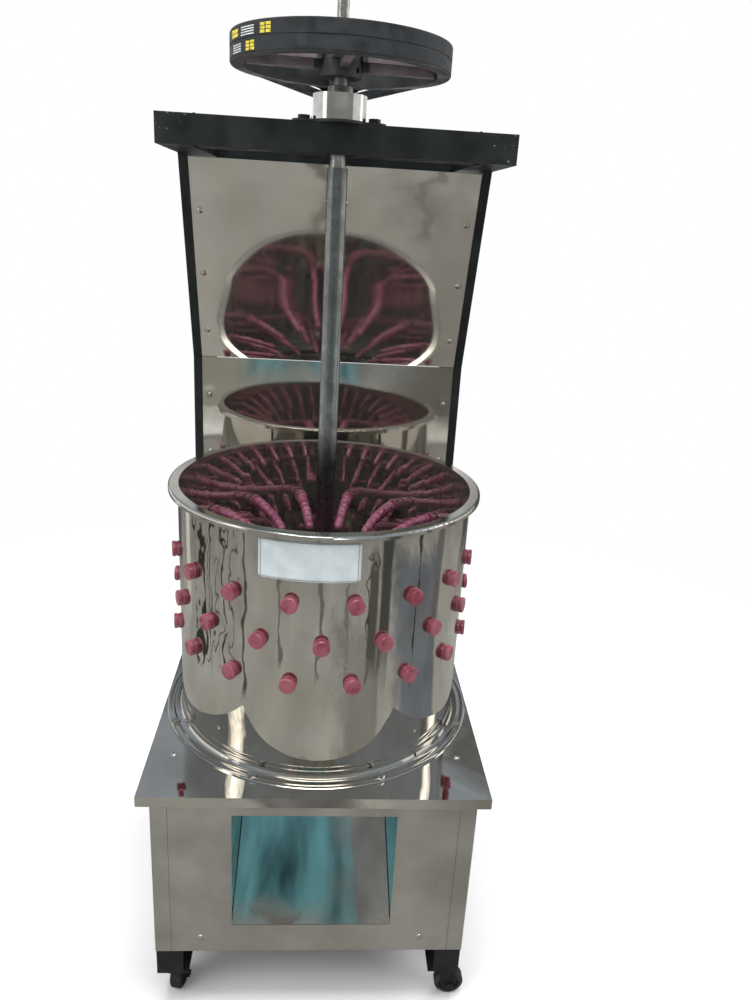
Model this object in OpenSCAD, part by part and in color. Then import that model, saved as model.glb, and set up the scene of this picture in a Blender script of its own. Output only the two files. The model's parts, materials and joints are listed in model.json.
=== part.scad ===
// Poultry plucker with an overhead belt drive, in millimetres.
// X points right, Y points away from the operator, Z points up from the floor.
// The drum stands still: the shaft hangs from the top beam and turns the finger plate.

/* [Drum] */
// Outside diameter of the drum wall
drum_d = 508; // [480:1:524]
// Height of the drum from the deck to the top of its rim
drum_h = 434; // [400:1:480]
// Thickness of the drum sheet
drum_sheet = 1.5; // [1:0.1:2.5]
// How far the rim stands out from the wall
rim_reach = 16; // [10:1:20]
// Height of the turned-down edge of the rim
rim_drop = 9; // [6:0.5:14]
// Thickness of the flange ring under the drum
ring_t = 3; // [2:0.5:5]
// Bolts in the flange ring
ring_bolts_n = 8; // [4, 6, 8]

/* [Wall fingers] */
// Fingers in each row
fingers_n = 16; // [10:1:18]
// Height of the lowest row above the deck
row_low = 177; // [165:1:190]
// Height from one row to the next
row_step = 69.5; // [60:0.5:75]
// Diameter of the outside head
head_d = 27; // [24:0.5:30]
// How far the head stands out from the wall
head_out = 12; // [10:0.5:16]
// Diameter of the finger core
finger_core_d = 16; // [13:0.5:17]
// Length of the drooping finger along its bend
finger_len = 106; // [80:1:115]
// Bend radius of the drooping finger
finger_bend = 190; // [150:5:260]
// Ribs on a finger
finger_ribs = 7; // [5:1:9]

/* [Finger plate] */
// Gap between the plate edge and the drum wall
plate_gap = 14; // [8:1:24]
// Height of the plate above the deck
plate_lift = 34; // [25:1:45]
// Thickness of the plate
plate_t = 5; // [4:0.5:8]
// Height of the standing fingers
stand_h = 85; // [70:1:95]

/* [Cabinet] */
// Height of the deck above the floor
deck_height = 460; // [450:1:480]
// How far the deck reaches past the drum wall at each side
deck_margin = 29; // [28:1:40]
// How much farther the deck reaches at the front
deck_front_extra = 19; // [10:1:30]
// Height of the deck lip
deck_lip = 18; // [12:1:24]
// How far the deck overhangs the cabinet
deck_overhang = 18; // [12:1:22]
// Thickness of the deck sheet
deck_sheet = 2; // [1.5:0.25:3]
// Height of the cabinet panels above the floor
skirt_height = 125; // [115:1:140]
// Thickness of the cabinet and back panels
panel_sheet = 1.2; // [1:0.1:2]
// Width of the folded trim at the front corners
trim_w = 27; // [20:1:35]
// Width of the feather outlet
outlet_w = 270; // [220:1:300]
// Height of the feather outlet
outlet_h = 228; // [200:1:240]
// Height of the outlet sill above the cabinet bottom
outlet_sill = 58; // [50:1:66]

/* [Legs and casters] */
// Width of the angle-iron legs
leg_w = 45; // [40:1:50]
// Thickness of the angle-iron legs
leg_t = 4; // [3:0.5:6]
// Height of the flat-bar rails between the legs
rail_h = 30; // [25:1:35]
// Diameter of the caster wheels
wheel_d = 52; // [46:1:54]
// Width of the caster wheels
wheel_w = 20; // [16:1:22]
// Distance from the swivel pin to the axle
caster_trail = 17; // [12:1:20]
// Height of a caster from the floor to the top of its plate
caster_h = 76; // [74:1:84]

/* [Back frame] */
// Clear distance from the drum wall to the back of the cabinet
back_room = 50; // [45:1:60]
// Width of the posts seen from the front
post_w = 16; // [14:1:22]
// Depth of the posts
post_depth = 38; // [30:1:45]
// Height where the posts kink forward
kink_height = 1048; // [1020:1:1080]
// Forward lean of the upper posts in degrees
lean = 19.9; // [17:0.1:21]
// Height of the underside of the top arms
arm_height = 1420; // [1405:1:1424]
// Height of the top arms and beam
arm_h = 44; // [40:1:48]
// Width of each top arm
arm_w = 58; // [50:1:64]
// Depth of the cross beam
beam_depth = 54; // [48:1:60]

/* [Drive] */
// Diameter of the shaft in its bearings
shaft_d = 25; // [22:1:27]
// Diameter of the shaft end that carries the pulley
shaft_end_d = 20; // [16:1:21]
// Height of the shaft top above the middle between the belts
shaft_rise = 95; // [75:1:125]
// Outside diameter of the drive tube
tube_d = 32; // [30:0.5:36]
// Clear length of bare shaft between the top arms and the drive tube
tube_gap = 18; // [14:1:30]
// Diameter of the large pulley
pulley_d = 327; // [290:1:340]
// Diameter of the motor pulley
motor_pulley_d = 72; // [66:1:80]
// Height of the middle between the two belts above the top arms
belt_rise = 91; // [84:1:101]
// Distance between the belts
belt_step = 19; // [18.5:0.1:20]
// Width of a belt at its back
belt_w = 17; // [16:0.1:17.5]
// Height of a belt section
belt_t = 11; // [10:0.1:11.5]
// Arms of the large pulley
pulley_arms_n = 4; // [3:1:6]

/* [Motor] */
// Diameter of the motor frame without its fins
motor_d = 140; // [130:1:144]
// Height of the cooling fins
fin_h = 8; // [5:0.5:10]
// Cooling fins around the motor frame
fins_n = 28; // [16:1:36]
// Diameter of the motor shaft
motor_shaft_d = 19; // [16:1:20]
// Length of the motor frame
motor_len = 185; // [160:1:195]
// Gap between the cooling fins and the mounting plate
motor_clear = 2; // [1:0.5:6]
// Room between the strips of the leaning panel and the mounting plate
motor_room = 22.5; // [16:0.5:35]

/* [Hidden] */
$fn = 64;

// Clearances: a running fit, a loose hole, an open gap, and the overrun of a cut
fit = 0.05;
slip = 0.3;
gap = 0.5;
cut = 1;

// Hex fasteners: sizes as multiples of the thread, free thread past a nut, depth of a hole
hex_w = 1.85;
hex_head = 0.65;
hex_nut = 0.8;
thread_out = 3;
hole_deep = 25;

// Drum
wall_r = drum_d / 2;
wall_in = wall_r - drum_sheet;
rim_r = wall_r + rim_reach;
rim_top = deck_height + drum_h;
rim_round = 4;
hole_reach = 6;

// Cabinet
deck_half = wall_r + deck_margin;
deck_front = deck_half + deck_front_extra;
deck_under = deck_height - deck_sheet;
cab_half = deck_half - deck_overhang;
cab_front = deck_front - deck_overhang;
cab_back = wall_r + back_room;
leg_x = cab_half - panel_sheet;
leg_front = cab_front - panel_sheet;
leg_back = cab_back - panel_sheet;
seam = 0.5;
ring_inset = 1;
ring_r = deck_half - ring_inset;
bolt_shift = 5;
bolt_circle = (wall_r + ring_r) / 2 + bolt_shift;
ring_bolt_d = 8;
sill_z = skirt_height + outlet_sill;
feather_inset = 22;
feather_hole_r = wall_r - feather_inset;
chute_room = 1;
chute_half = outlet_w / 2 + chute_room;
hole_margin = 2;
front_screw_in = 53;
front_screw_lift = 30;
deck_screw_in = 2;
deck_screw_from = 60;
rail_lift = 5;

// The slide is one sheet with two folds: steep at the mouth, nearly level at the back
slide_inset = 18;
slide_back = feather_hole_r + slide_inset;
slide_fall = deck_under - slide_inset - sill_z;
mouth_slope = 55;
mouth_run = 100;
mouth_rise = mouth_run * tan(mouth_slope);
fold_run = 260;
fold_share = 0.68;
fold_rise = mouth_rise + fold_share * (slide_fall - mouth_rise);
slide_t = panel_sheet / cos(mouth_slope);

// Casters
caster_plate_w = 54;
caster_plate_t = 3;
king_d = 10;
king_nut_d = 18;
king_nut_t = 5;
crown_d = 46;
crown_t = 6;
axle_d = 8;
axle_nut_d = 14;
axle_nut_t = 5;
cheek_t = 3;
cheek_gap = 1;
cheek_top_w = 30;
cheek_low_w = 16;
wheel_hub_r = 9;
wheel_dish = 4;
wheel_rim_share = 0.68;
wheel_rim_slope = 1;
tread_round = 3;
fork_top_z = caster_h - caster_plate_t - gap;
caster_x = leg_x - caster_plate_w / 2;
caster_front = -leg_front + caster_plate_w / 2;
caster_back = leg_back - caster_plate_w / 2;

// Rest headings of the casters: the front right wheel trails to the right
heading_fl = 78;
heading_fr = 0;
heading_rl = 62;
heading_rr = 110;

// Back frame
post_proud = 9;
frame_half = cab_half + post_proud;
arm_in = frame_half - arm_w;
post_in = frame_half - post_w;
post_wall = 2.5;
post_lift = 10;
post_foot = skirt_height + post_lift;
panel_inset = 3;
strip_w = 30;
strip_t = 4;
strip_end = 4;
strip_back = panel_inset + panel_sheet + strip_t;
arm_top = arm_height + arm_h;
arm_wall = 3;
beam_front = beam_depth / 2;
panel_top_gap = 6;
fold = tan(lean / 2);
tie_t = 5;
tie_h = 30;
tie_lift = 60;
tie_under = 40;
tie_z = [deck_height + tie_lift, kink_height - tie_under];
lean_len = (arm_height - kink_height) / cos(lean);
tie_drop = 66;
tie_up = lean_len - tie_drop;
screw_d = 5;
screw_len = 7;
dome_r = 6.5;
dome_sink = 3;
screw_x = post_in - strip_w / 2;
low_screws = [for (share = [0.255, 0.459, 0.663, 0.869])
    deck_height + share * (kink_height - deck_height)];
high_screws = [for (share = [0.15, 0.45, 0.75]) share * lean_len];
bracket_t = 6;
bracket_w = 45;
bracket_h = 60;
bracket_drop = 78;
bracket_lift = 45;
bracket_z = [skirt_height + bracket_lift, deck_under - bracket_drop];
bolt_x = leg_x - leg_w / 2;
frame_bolt_d = 8;

// Shaft and bearings
housing_d = 82;
housing_rise = 40;
housing_top = arm_top + housing_rise;
housing_low_d = 46;
housing_inset = 1;
housing_low = arm_height + housing_inset;
flange_t = 4;
flange_ear_r = 18;
flange_bolt_x = 54;
flange_bolt_d = 10;
bearing_d = 52;
bearing_w = 15;
low_bearing_d = 42;
low_bearing_w = 9;
bearing_lip = 3;
bearing_shelf = 3;
bearing_seal = 0.8;
bearing_top = housing_top - bearing_lip;
collar_d = 38;
collar_w = 14;
collar_screw_d = 6;
collar_z = bearing_top + gap;
shoulder_z = collar_z + collar_w;
tube_top = arm_height - tube_gap;
shaft_in = 100;
shaft_low = tube_top - shaft_in;
shaft_bevel = 2;
pin_d = 8;
pin_out = 1;
pin_drop = 50;
pin_z = tube_top - pin_drop;

// Pulleys and belts
belt_height = arm_top + belt_rise;
shaft_top = belt_height + shaft_rise;
shaft_past = 8;
pulley_r = pulley_d / 2;
motor_pulley_r = motor_pulley_d / 2;
belt_proud = 1.2;
belt_clear = 0.4;
belt_floor = 2.5;
flank = 19;
hub_drop = 8;
rim_wall = 6;
rim_land = 2;
pulley_face = belt_step + belt_w + 2 * rim_land;
pulley_hub_r = 32;
pulley_arm_w = 36;
pulley_arm_t = 12;
pulley_arm_root = 2;
pulley_screw_d = 8;
pulley_screw_z = 9;
key_w = 6;
key_in = 3.5;
key_out = 2.5;
key_len = 40;
pulley_phase = 5;
shaft_step = 2;
shaft_tip_d = shaft_end_d - shaft_step;
shaft_tip_z = belt_height + pulley_face / 2 + shaft_past;
belt_out_r = pulley_r + belt_proud;
belt_out_small = motor_pulley_r + belt_proud;

// Finger plate
plate_z = deck_height + plate_lift;
plate_top = plate_z + plate_t;
plate_r = wall_in - plate_gap;
hub_d = 60;
hub_h = 60;
hub_flange_d = 126;
hub_flange_t = 10;
hub_bolts_n = 6;
hub_bolt_r = 48;
stand_outer_r = 175;
stand_outer_n = 8;
stand_inner_r = 100;
stand_inner_n = 4;
stand_neck_d = 16;
stand_foot_r = 13;
stand_plug_t = 9;
stand_round = 2;
stand_rib = 2.4;
stand_first = 8;
stand_ramp = 1;
hub_pin_drop = 18;
hub_pin_z = plate_top + hub_h - hub_pin_drop;

// Wall fingers
finger_pitch = 360 / fingers_n;
neck_extra = 2;
neck_d = finger_core_d + neck_extra;
hole_d = neck_d + 2 * slip;
foot_extra = 7;
foot_d = neck_d + foot_extra;
foot_t = 4;
foot_round = 1;
foot_r = sqrt(wall_in * wall_in - foot_d * foot_d / 4) - fit;
finger_turn = finger_len / finger_bend * 180 / PI;
link = finger_len / finger_ribs;
joint_inset = 1;
joint_swell = 0.3;
rib_out = 2.8;
rib_fade = 1.6;
rib_from = 0.3;
rib_to = 0.76;
rib_slope = 0.1;
head_land = 3;
head_slope = 1;
head_groove = 1.5;
head_groove_w = 1;
head_round = 1.5;

// Motor
motor_r = motor_d / 2;
fin_r = motor_r + fin_h;
shield_t = 12;
boss_h = 25;
boss_gap = 5;
motor_top = belt_height - pulley_face / 2 - hub_drop - boss_gap - boss_h - shield_t;
motor_low = motor_top - motor_len;
motor_plate_t = 8;
lean_back = cab_back - (motor_low - kink_height) * tan(lean) + strip_back / cos(lean);
motor_plate_y = lean_back + motor_room + motor_plate_t;
motor_y = motor_plate_y + motor_clear + fin_r;
centre_distance = motor_y;
belt_turn = asin((belt_out_r - belt_out_small) / centre_distance);
belt_run = centre_distance * cos(belt_turn);
frame_wall = 8;
frame_bore_r = motor_r - frame_wall;
stator_len = motor_len / 2;
stator_z = motor_low + (motor_len - stator_len) / 2;
rotor_share = 0.6;
rotor_r = frame_bore_r * rotor_share;
shield_out = 5;
shield_r = motor_r + shield_out;
boss_r = 48;
cowl_len = 62;
cowl_sheet = 1.8;
cowl_low = motor_low - cowl_len;
fan_room = 14;
fan_r = shield_r - fan_room;
fan_h = 26;
fan_hub_r = 17;
fan_disc_t = 3;
fan_blade_t = 2.5;
fan_blades_n = 8;
fan_blade_root = 2;
fan_z = cowl_low + fan_room;
motor_shaft_top = belt_height + pulley_face / 2 + shaft_past;
foot_bar_t = 12;
foot_bar_h = 32;
foot_bar_half = motor_r;
foot_bolt_in = 12;
foot_bolt_x = motor_r - foot_bolt_in;
foot_bolt_d = 10;
foot_web_x = 30;
foot_web_w = 12;
fin_t = 3;
fin_inset = 6;
fin_root = 2;
foot_lift = 18;
foot_drop = 53;
foot_bar_z = [motor_low + foot_lift, motor_top - foot_drop];
motor_plate_top = max(arm_top, foot_bar_z[1] + foot_bar_h);
box_out = 10;
box_base_x = motor_r + box_out;
box_deep = 44;
box_wide = 90;
box_tall = 80;
box_wall = 3;
box_neck = 32;
box_rim = 12;
box_z = motor_low + motor_len / 2 - box_tall / 2;
gland_d = 24;
gland_tip = 18;
gland_hex = 30;
gland_hex_t = 7;
gland_len = 26;
gland_thread = 20;
gland_thread_len = 9;
gland_bore = 12;
vent_d = 11;
vent_inner_n = 8;
vent_inner_r = 28;
vent_outer_n = 14;
vent_outer_r = 50;
arm_tail = 78;
arm_rear = motor_plate_y + arm_tail;
flange_len = 62;
flange_side_t = 6;
tension_slot = 12;
tension_near = 18;
tension_far = 44;
tension_y = [motor_plate_y + tension_near, motor_plate_y + tension_far];
tension_z = arm_height + arm_h / 2;

// The drawing is centred on the box round the machine, front lip to motor fins
frame_shift = (deck_front - (motor_y + fin_r)) / 2;

module placed() {
    translate([0, frame_shift, 0]) children();
}

// Helpers

module box(x0, x1, y0, y1, z0, z1) {
    translate([x0, y0, z0]) cube([x1 - x0, y1 - y0, z1 - z0]);
}

module both_sides() {
    children();
    mirror([1, 0, 0]) children();
}

module around(n, r, phase = 0) {
    for (i = [0 : n - 1])
        rotate([0, 0, phase + i * 360 / n]) translate([r, 0, 0]) children();
}

// Extrudes an outline drawn in Y and Z along X
module along_x(x0, x1) {
    translate([x0, 0, 0]) rotate([90, 0, 90]) linear_extrude(x1 - x0) children();
}

// A bolt and its nut along Z: the head sits on the plane Z = 0 and grips what is below it
module bolt_and_nut(d, grip) {
    nut_t = hex_nut * d;
    shank = grip + nut_t + thread_out;
    cylinder(d = hex_w * d, h = hex_head * d, $fn = 6);
    translate([0, 0, -shank]) cylinder(d = d, h = shank);
    translate([0, 0, -grip - nut_t]) difference() {
        cylinder(d = hex_w * d, h = nut_t, $fn = 6);
        translate([0, 0, -cut]) cylinder(d = d + 2 * fit, h = nut_t + 2 * cut);
    }
}

// The hole under a bolt head that sits on the plane Z = 0
module bolt_hole(d) {
    translate([0, 0, -hole_deep]) cylinder(d = d + 2 * slip, h = hole_deep + cut);
}

// Two circles joined by a bar along X
module slot_cut(d, length, depth) {
    for (side = [-1, 1])
        translate([side * length / 2, 0, 0]) cylinder(d = d, h = depth);
    translate([-length / 2, -d / 2, 0]) cube([length, d, depth]);
}

// Legs, rails and casters

module at_corners() {
    both_sides() {
        translate([leg_x, -leg_front, 0]) children();
        translate([leg_x, leg_back, 0]) mirror([0, 1, 0]) children();
    }
}

module legs() {
    color("#26292b") difference() {
        at_corners() translate([0, 0, caster_h]) {
            box(-leg_w, 0, 0, leg_t, 0, deck_under - caster_h);
            box(-leg_t, 0, 0, leg_w, 0, deck_under - caster_h);
        }
        at_bracket_bolts() bolt_hole(frame_bolt_d);
    }
}

module frame_rails() {
    color("#2e3133") for (z = [skirt_height + rail_lift, deck_under - rail_h]) {
        both_sides()
            box(leg_x - leg_t, leg_x, -leg_front + leg_w, leg_back - leg_w, z, z + rail_h);
        box(-leg_x + leg_w, leg_x - leg_w, -leg_front, -leg_front + leg_t, z, z + rail_h);
        box(-leg_x + leg_w, leg_x - leg_w, leg_back - leg_t, leg_back, z, z + rail_h);
    }
}

module caster_plates() {
    color("#303336") difference() {
        at_corners()
            box(-caster_plate_w, 0, 0, caster_plate_w, caster_h - caster_plate_t, caster_h);
        for (x = [-caster_x, caster_x], y = [caster_front, caster_back])
            translate([x, y, 0]) cylinder(d = king_d + 2 * fit, h = caster_h + cut);
    }
}

module fork(x, y, heading) {
    axle_z = wheel_d / 2;
    cheek_y = wheel_w / 2 + cheek_gap;
    crown_z = fork_top_z - crown_t;
    axle_len = 2 * (cheek_y + cheek_t + axle_nut_t - cut);
    color("#202224") translate([x, y, 0]) rotate([0, 0, heading]) {
        translate([0, 0, crown_z]) cylinder(d = crown_d, h = crown_t);
        translate([0, 0, crown_z]) cylinder(d = king_d, h = caster_h + king_nut_t - crown_z);
        translate([0, 0, caster_h + gap]) cylinder(d = king_nut_d, h = king_nut_t, $fn = 6);
        for (side = [-1, 1])
            translate([0, side * (cheek_y + cheek_t / 2) + cheek_t / 2, 0]) rotate([90, 0, 0])
                linear_extrude(cheek_t) cheek(axle_z);
        translate([caster_trail, 0, axle_z]) rotate([90, 0, 0]) {
            cylinder(d = axle_d, h = axle_len, center = true);
            for (side = [-1, 1])
                translate([0, 0, side * (cheek_y + cheek_t + axle_nut_t / 2) - axle_nut_t / 2])
                    cylinder(d = axle_nut_d, h = axle_nut_t, $fn = 6);
        }
    }
}

// Outline of a fork cheek from the crown down to the axle
module cheek(axle_z) {
    top = cheek_top_w / 2;
    low = cheek_low_w / 2;
    polygon([[-top, fork_top_z - cut], [top, fork_top_z - cut],
        [caster_trail + low, axle_z], [caster_trail - low, axle_z]]);
    translate([caster_trail, axle_z]) circle(d = cheek_low_w);
}

module wheel(x, y, heading) {
    tread = wheel_d / 2;
    rim_in = tread * wheel_rim_share;
    bore = axle_d / 2 + fit;
    half = wheel_w / 2;
    dish = half - wheel_dish;
    color("#17181a") translate([x, y, 0]) rotate([0, 0, heading])
        translate([caster_trail, 0, tread]) rotate([90, 0, 0]) rotate_extrude()
            polygon([[bore, -half], [wheel_hub_r, -half], [wheel_hub_r, -dish],
                [rim_in, -dish], [rim_in + wheel_rim_slope, -half], [tread - tread_round, -half],
                [tread, -half + tread_round], [tread, half - tread_round],
                [tread - tread_round, half], [rim_in + wheel_rim_slope, half], [rim_in, dish],
                [wheel_hub_r, dish], [wheel_hub_r, half], [bore, half]]);
}

module front_left_fork() { fork(-caster_x, caster_front, heading_fl); }
module front_right_fork() { fork(caster_x, caster_front, heading_fr); }
module rear_left_fork() { fork(-caster_x, caster_back, heading_rl); }
module rear_right_fork() { fork(caster_x, caster_back, heading_rr); }
module front_left_wheel() { wheel(-caster_x, caster_front, heading_fl); }
module front_right_wheel() { wheel(caster_x, caster_front, heading_fr); }
module rear_left_wheel() { wheel(-caster_x, caster_back, heading_rl); }
module rear_right_wheel() { wheel(caster_x, caster_back, heading_rr); }

// Cabinet

module front_panel() {
    half = cab_half - trim_w - seam;
    color("#8d8980") difference() {
        box(-half, half, -cab_front, -leg_front, skirt_height, deck_under);
        box(-outlet_w / 2, outlet_w / 2, -cab_front - cut, -leg_front + cut,
            sill_z, sill_z + outlet_h);
    }
}

module corner_trims() {
    color("#949087") both_sides() {
        box(cab_half - trim_w, cab_half, -cab_front, -leg_front, skirt_height, deck_under);
        box(leg_x, cab_half, -cab_front, -cab_front + trim_w, skirt_height, deck_under);
    }
}

module side_panels() {
    color("#8d8980") both_sides()
        box(leg_x, cab_half, -cab_front + trim_w + seam, leg_back, skirt_height, deck_under);
}

module rear_panel() {
    color("#8d8980") difference() {
        box(-cab_half, cab_half, leg_back, cab_back, skirt_height, deck_under);
        at_bracket_bolts() bolt_hole(frame_bolt_d);
    }
}

// The slide's path in Y and Z from a start behind the front panel, moved down by drop
function slide_path(start, drop) = [
    [-leg_front + start, sill_z + start * tan(mouth_slope) - drop],
    [-leg_front + mouth_run, sill_z + mouth_rise - drop],
    [-leg_front + fold_run, sill_z + fold_rise - drop],
    [slide_back, sill_z + slide_fall - drop]];

module feather_chute() {
    out = chute_half + panel_sheet;
    wall_from = leg_t + slip;
    low = slide_path(0, slide_t);
    color("#c9ccce") {
        along_x(-out, out) polygon(concat(slide_path(0, 0), [low[3], low[2], low[1], low[0]]));
        both_sides() along_x(chute_half, out)
            polygon(concat(slide_path(wall_from, slide_t / 2),
                [[slide_back, deck_under], [-leg_front + wall_from, deck_under]]));
    }
}

module at_ring_bolts() {
    around(ring_bolts_n, bolt_circle, 180 / ring_bolts_n) children();
}

module deck_plate() {
    color("#b9bcbe") difference() {
        union() {
            box(-deck_half, deck_half, -deck_front, cab_back, deck_under, deck_height);
            box(-deck_half, deck_half, -deck_front, -deck_front + deck_sheet,
                deck_height - deck_lip, deck_height);
            both_sides()
                box(deck_half - deck_sheet, deck_half, -deck_front, cab_back,
                    deck_height - deck_lip, deck_height);
        }
        translate([0, 0, deck_under - cut]) linear_extrude(deck_sheet + 2 * cut)
            intersection() {
                circle(r = feather_hole_r);
                square([2 * (chute_half - hole_margin), 2 * deck_half], center = true);
            }
        at_ring_bolts() translate([0, 0, deck_under - cut])
            cylinder(d = ring_bolt_d + 2 * slip, h = deck_sheet + 2 * cut);
        at_deck_screws() bolt_hole(screw_d);
    }
}

// Drum and wall fingers

module at_fingers(row, inset) {
    phase = row == 1 ? -90 : -90 + finger_pitch / 2;
    around(fingers_n, inset, phase)
        translate([0, 0, deck_height + row_low + row * row_step]) children();
}

module drum_shell() {
    flange_z = rim_top - drum_sheet;
    color("#c8cbcd") difference() {
        rotate_extrude() {
            translate([wall_in, deck_height]) square([drum_sheet, drum_h - drum_sheet / 2]);
            translate([wall_in, flange_z]) square([rim_r - rim_round - wall_in, drum_sheet]);
            translate([rim_r - drum_sheet, rim_top - rim_drop])
                square([drum_sheet, rim_drop - rim_round]);
            translate([rim_r - rim_round, rim_top - rim_round]) intersection() {
                difference() {
                    circle(r = rim_round);
                    circle(r = rim_round - drum_sheet);
                }
                square(rim_round);
            }
        }
        for (row = [0 : 2])
            at_fingers(row, wall_in - hole_reach) rotate([0, 90, 0])
                cylinder(d = hole_d, h = drum_sheet + 2 * hole_reach);
    }
}

module drum_base_ring() {
    bead = 5;
    bead_toe = 8;
    edge = 1;
    color("#c3c6c8") difference() {
        translate([0, 0, deck_height]) rotate_extrude()
            polygon([[wall_r + fit, 0], [ring_r, 0], [ring_r, ring_t - edge], [ring_r - edge, ring_t],
                [wall_r + bead_toe, ring_t], [wall_r + bead, ring_t + edge],
                [wall_r + bead / 2, ring_t + bead], [wall_r + fit, ring_t + bead]]);
        at_ring_bolts() translate([0, 0, deck_height - cut])
            cylinder(d = ring_bolt_d + 2 * slip, h = ring_t + 2 * cut);
    }
}

module ring_bolts() {
    color("#d6d8da") at_ring_bolts() translate([0, 0, deck_height + ring_t])
        bolt_and_nut(ring_bolt_d, ring_t + deck_sheet);
}

// One finger: the head is outside, the neck passes the wall and the ribbed part droops.
// The local X axis points out of the drum and starts on the drum axis.
module wall_finger() {
    head_r = head_d / 2;
    head_end = wall_r + head_out;
    groove_at = wall_r + head_land + head_slope;
    groove_end = groove_at + head_groove_w;
    start = foot_r - foot_t;
    rotate([0, 90, 0]) rotate_extrude()
        polygon([[0, start], [foot_d / 2 - foot_round, start], [foot_d / 2, start + foot_round],
            [foot_d / 2, foot_r], [neck_d / 2, foot_r], [neck_d / 2, wall_r + fit],
            [head_r, wall_r + fit], [head_r, wall_r + head_land],
            [head_r - head_groove, groove_at], [head_r - head_groove, groove_end],
            [head_r, groove_end + head_slope], [head_r, head_end - head_round],
            [head_r - head_round, head_end], [0, head_end]]);
    translate([start, 0, 0]) rotate([0, 0, 180]) droop(0);
}

// The finger bends a little at each round joint: every link carries one rib
module droop(i) {
    core_r = finger_core_d / 2;
    rib_r = core_r + rib_out - rib_fade * i / finger_ribs;
    from = i == 0 ? -foot_t / 2 : joint_inset;
    if (i < finger_ribs) {
        rotate([0, 90, 0]) rotate_extrude()
            polygon([[0, from], [core_r, from], [core_r, rib_from * link],
                [rib_r, (rib_from + rib_slope) * link], [rib_r, (rib_to - rib_slope) * link],
                [core_r, rib_to * link], [core_r, link - joint_inset], [0, link - joint_inset]]);
        translate([link, 0, 0]) {
            sphere(r = core_r + joint_swell);
            rotate([0, finger_turn / finger_ribs, 0]) droop(i + 1);
        }
    }
}

module upper_fingers() { color("#b04a63") at_fingers(2, 0) wall_finger(); }
module middle_fingers() { color("#b04a63") at_fingers(1, 0) wall_finger(); }
module lower_fingers() { color("#b04a63") at_fingers(0, 0) wall_finger(); }

// Back frame: an outline that follows the posts, between two depths behind their front face
module bent_strip(front, back, z0, z1) {
    top_y = cab_back - (z1 - kink_height) * tan(lean);
    polygon([[cab_back + front, z0], [cab_back + front, kink_height + front * fold],
        [top_y + front / cos(lean), z1], [top_y + back / cos(lean), z1],
        [cab_back + back, kink_height + back * fold], [cab_back + back, z0]]);
}

// Moves children into the plane of the leaning part, with Z along the posts
module leaning() {
    translate([0, cab_back, kink_height]) rotate([lean, 0, 0]) children();
}

// Children point their Z axis at the operator
module at_panel_screws() {
    both_sides() {
        for (z = low_screws)
            translate([screw_x, cab_back + panel_inset, z]) rotate([90, 0, 0]) children();
        for (z = high_screws)
            leaning() translate([screw_x, panel_inset, z]) rotate([90, 0, 0]) children();
    }
}

// Children point their Z axis up
module at_deck_screws() {
    both_sides() for (y = [-1, 1])
        translate([cab_half - leg_w / 2 - deck_screw_in, y * (wall_r - deck_screw_from), deck_height])
            children();
}

module at_front_screws() {
    both_sides()
        translate([bolt_x - front_screw_in, -cab_front, skirt_height + front_screw_lift])
            rotate([90, 0, 0]) children();
}

module post() {
    color("#24282a") difference() {
        union() {
            difference() {
                along_x(post_in, frame_half) bent_strip(0, post_depth, post_foot, arm_height);
                along_x(post_in + post_wall, frame_half - post_wall)
                    bent_strip(post_wall, post_depth - post_wall, post_foot - cut, arm_height + cut);
            }
            along_x(post_in - strip_w, post_in + cut)
                bent_strip(panel_inset + panel_sheet, strip_back,
                    deck_height + strip_end, arm_height - strip_end);
        }
        at_panel_screws() bolt_hole(screw_d);
    }
}

module right_post() { post(); }
module left_post() { mirror([1, 0, 0]) post(); }

module back_ties() {
    y0 = cab_back + strip_back;
    color("#24282a") {
        for (z = tie_z)
            box(-post_in, post_in, y0, y0 + tie_t, z, z + tie_h);
        leaning() box(-post_in, post_in, strip_back, strip_back + tie_t, tie_up, tie_up + tie_h);
    }
}

// Children point their Z axis backwards, away from the operator
module at_bracket_bolts() {
    both_sides() for (z = bracket_z)
        translate([bolt_x, cab_back + bracket_t, z + bracket_h / 2]) rotate([-90, 0, 0]) children();
}

module post_brackets() {
    color("#24282a") difference() {
        both_sides() for (z = bracket_z)
            box(post_in - bracket_w, post_in, cab_back, cab_back + bracket_t, z, z + bracket_h);
        at_bracket_bolts() bolt_hole(frame_bolt_d);
    }
}

module lower_back_panel() {
    color("#c9ccce") difference() {
        box(-post_in + seam, post_in - seam, cab_back + panel_inset,
            cab_back + panel_inset + panel_sheet, deck_height + cut,
            kink_height + panel_inset * fold - seam);
        at_panel_screws() bolt_hole(screw_d);
    }
}

module upper_back_panel() {
    top = lean_len - panel_top_gap;
    color("#c9ccce") difference() {
        leaning() box(-post_in + seam, post_in - seam, panel_inset, panel_inset + panel_sheet,
            seam - panel_inset * fold, top);
        at_panel_screws() bolt_hole(screw_d);
    }
}

// Dome-headed screws in the back panels, the deck and the front panel
module panel_screws() {
    color("#a9aaab") {
        at_panel_screws() dome_screw();
        at_deck_screws() dome_screw();
        at_front_screws() dome_head();
    }
}

module dome_head() {
    intersection() {
        translate([0, 0, -dome_sink]) sphere(r = dome_r);
        cylinder(r = dome_r, h = dome_r);
    }
}

module dome_screw() {
    dome_head();
    translate([0, 0, -screw_len]) cylinder(d = screw_d, h = screw_len + cut);
}

// Top frame and shaft bearings

module top_arms() {
    color("#272b2d") both_sides() difference() {
        box(arm_in, frame_half, -beam_front, arm_rear, arm_height, arm_top);
        box(arm_in + arm_wall, frame_half - arm_wall, -beam_front + arm_wall, arm_rear + cut,
            arm_height + arm_wall, arm_top - arm_wall);
        at_tension_bolts() bolt_hole(flange_bolt_d);
    }
}

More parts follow.
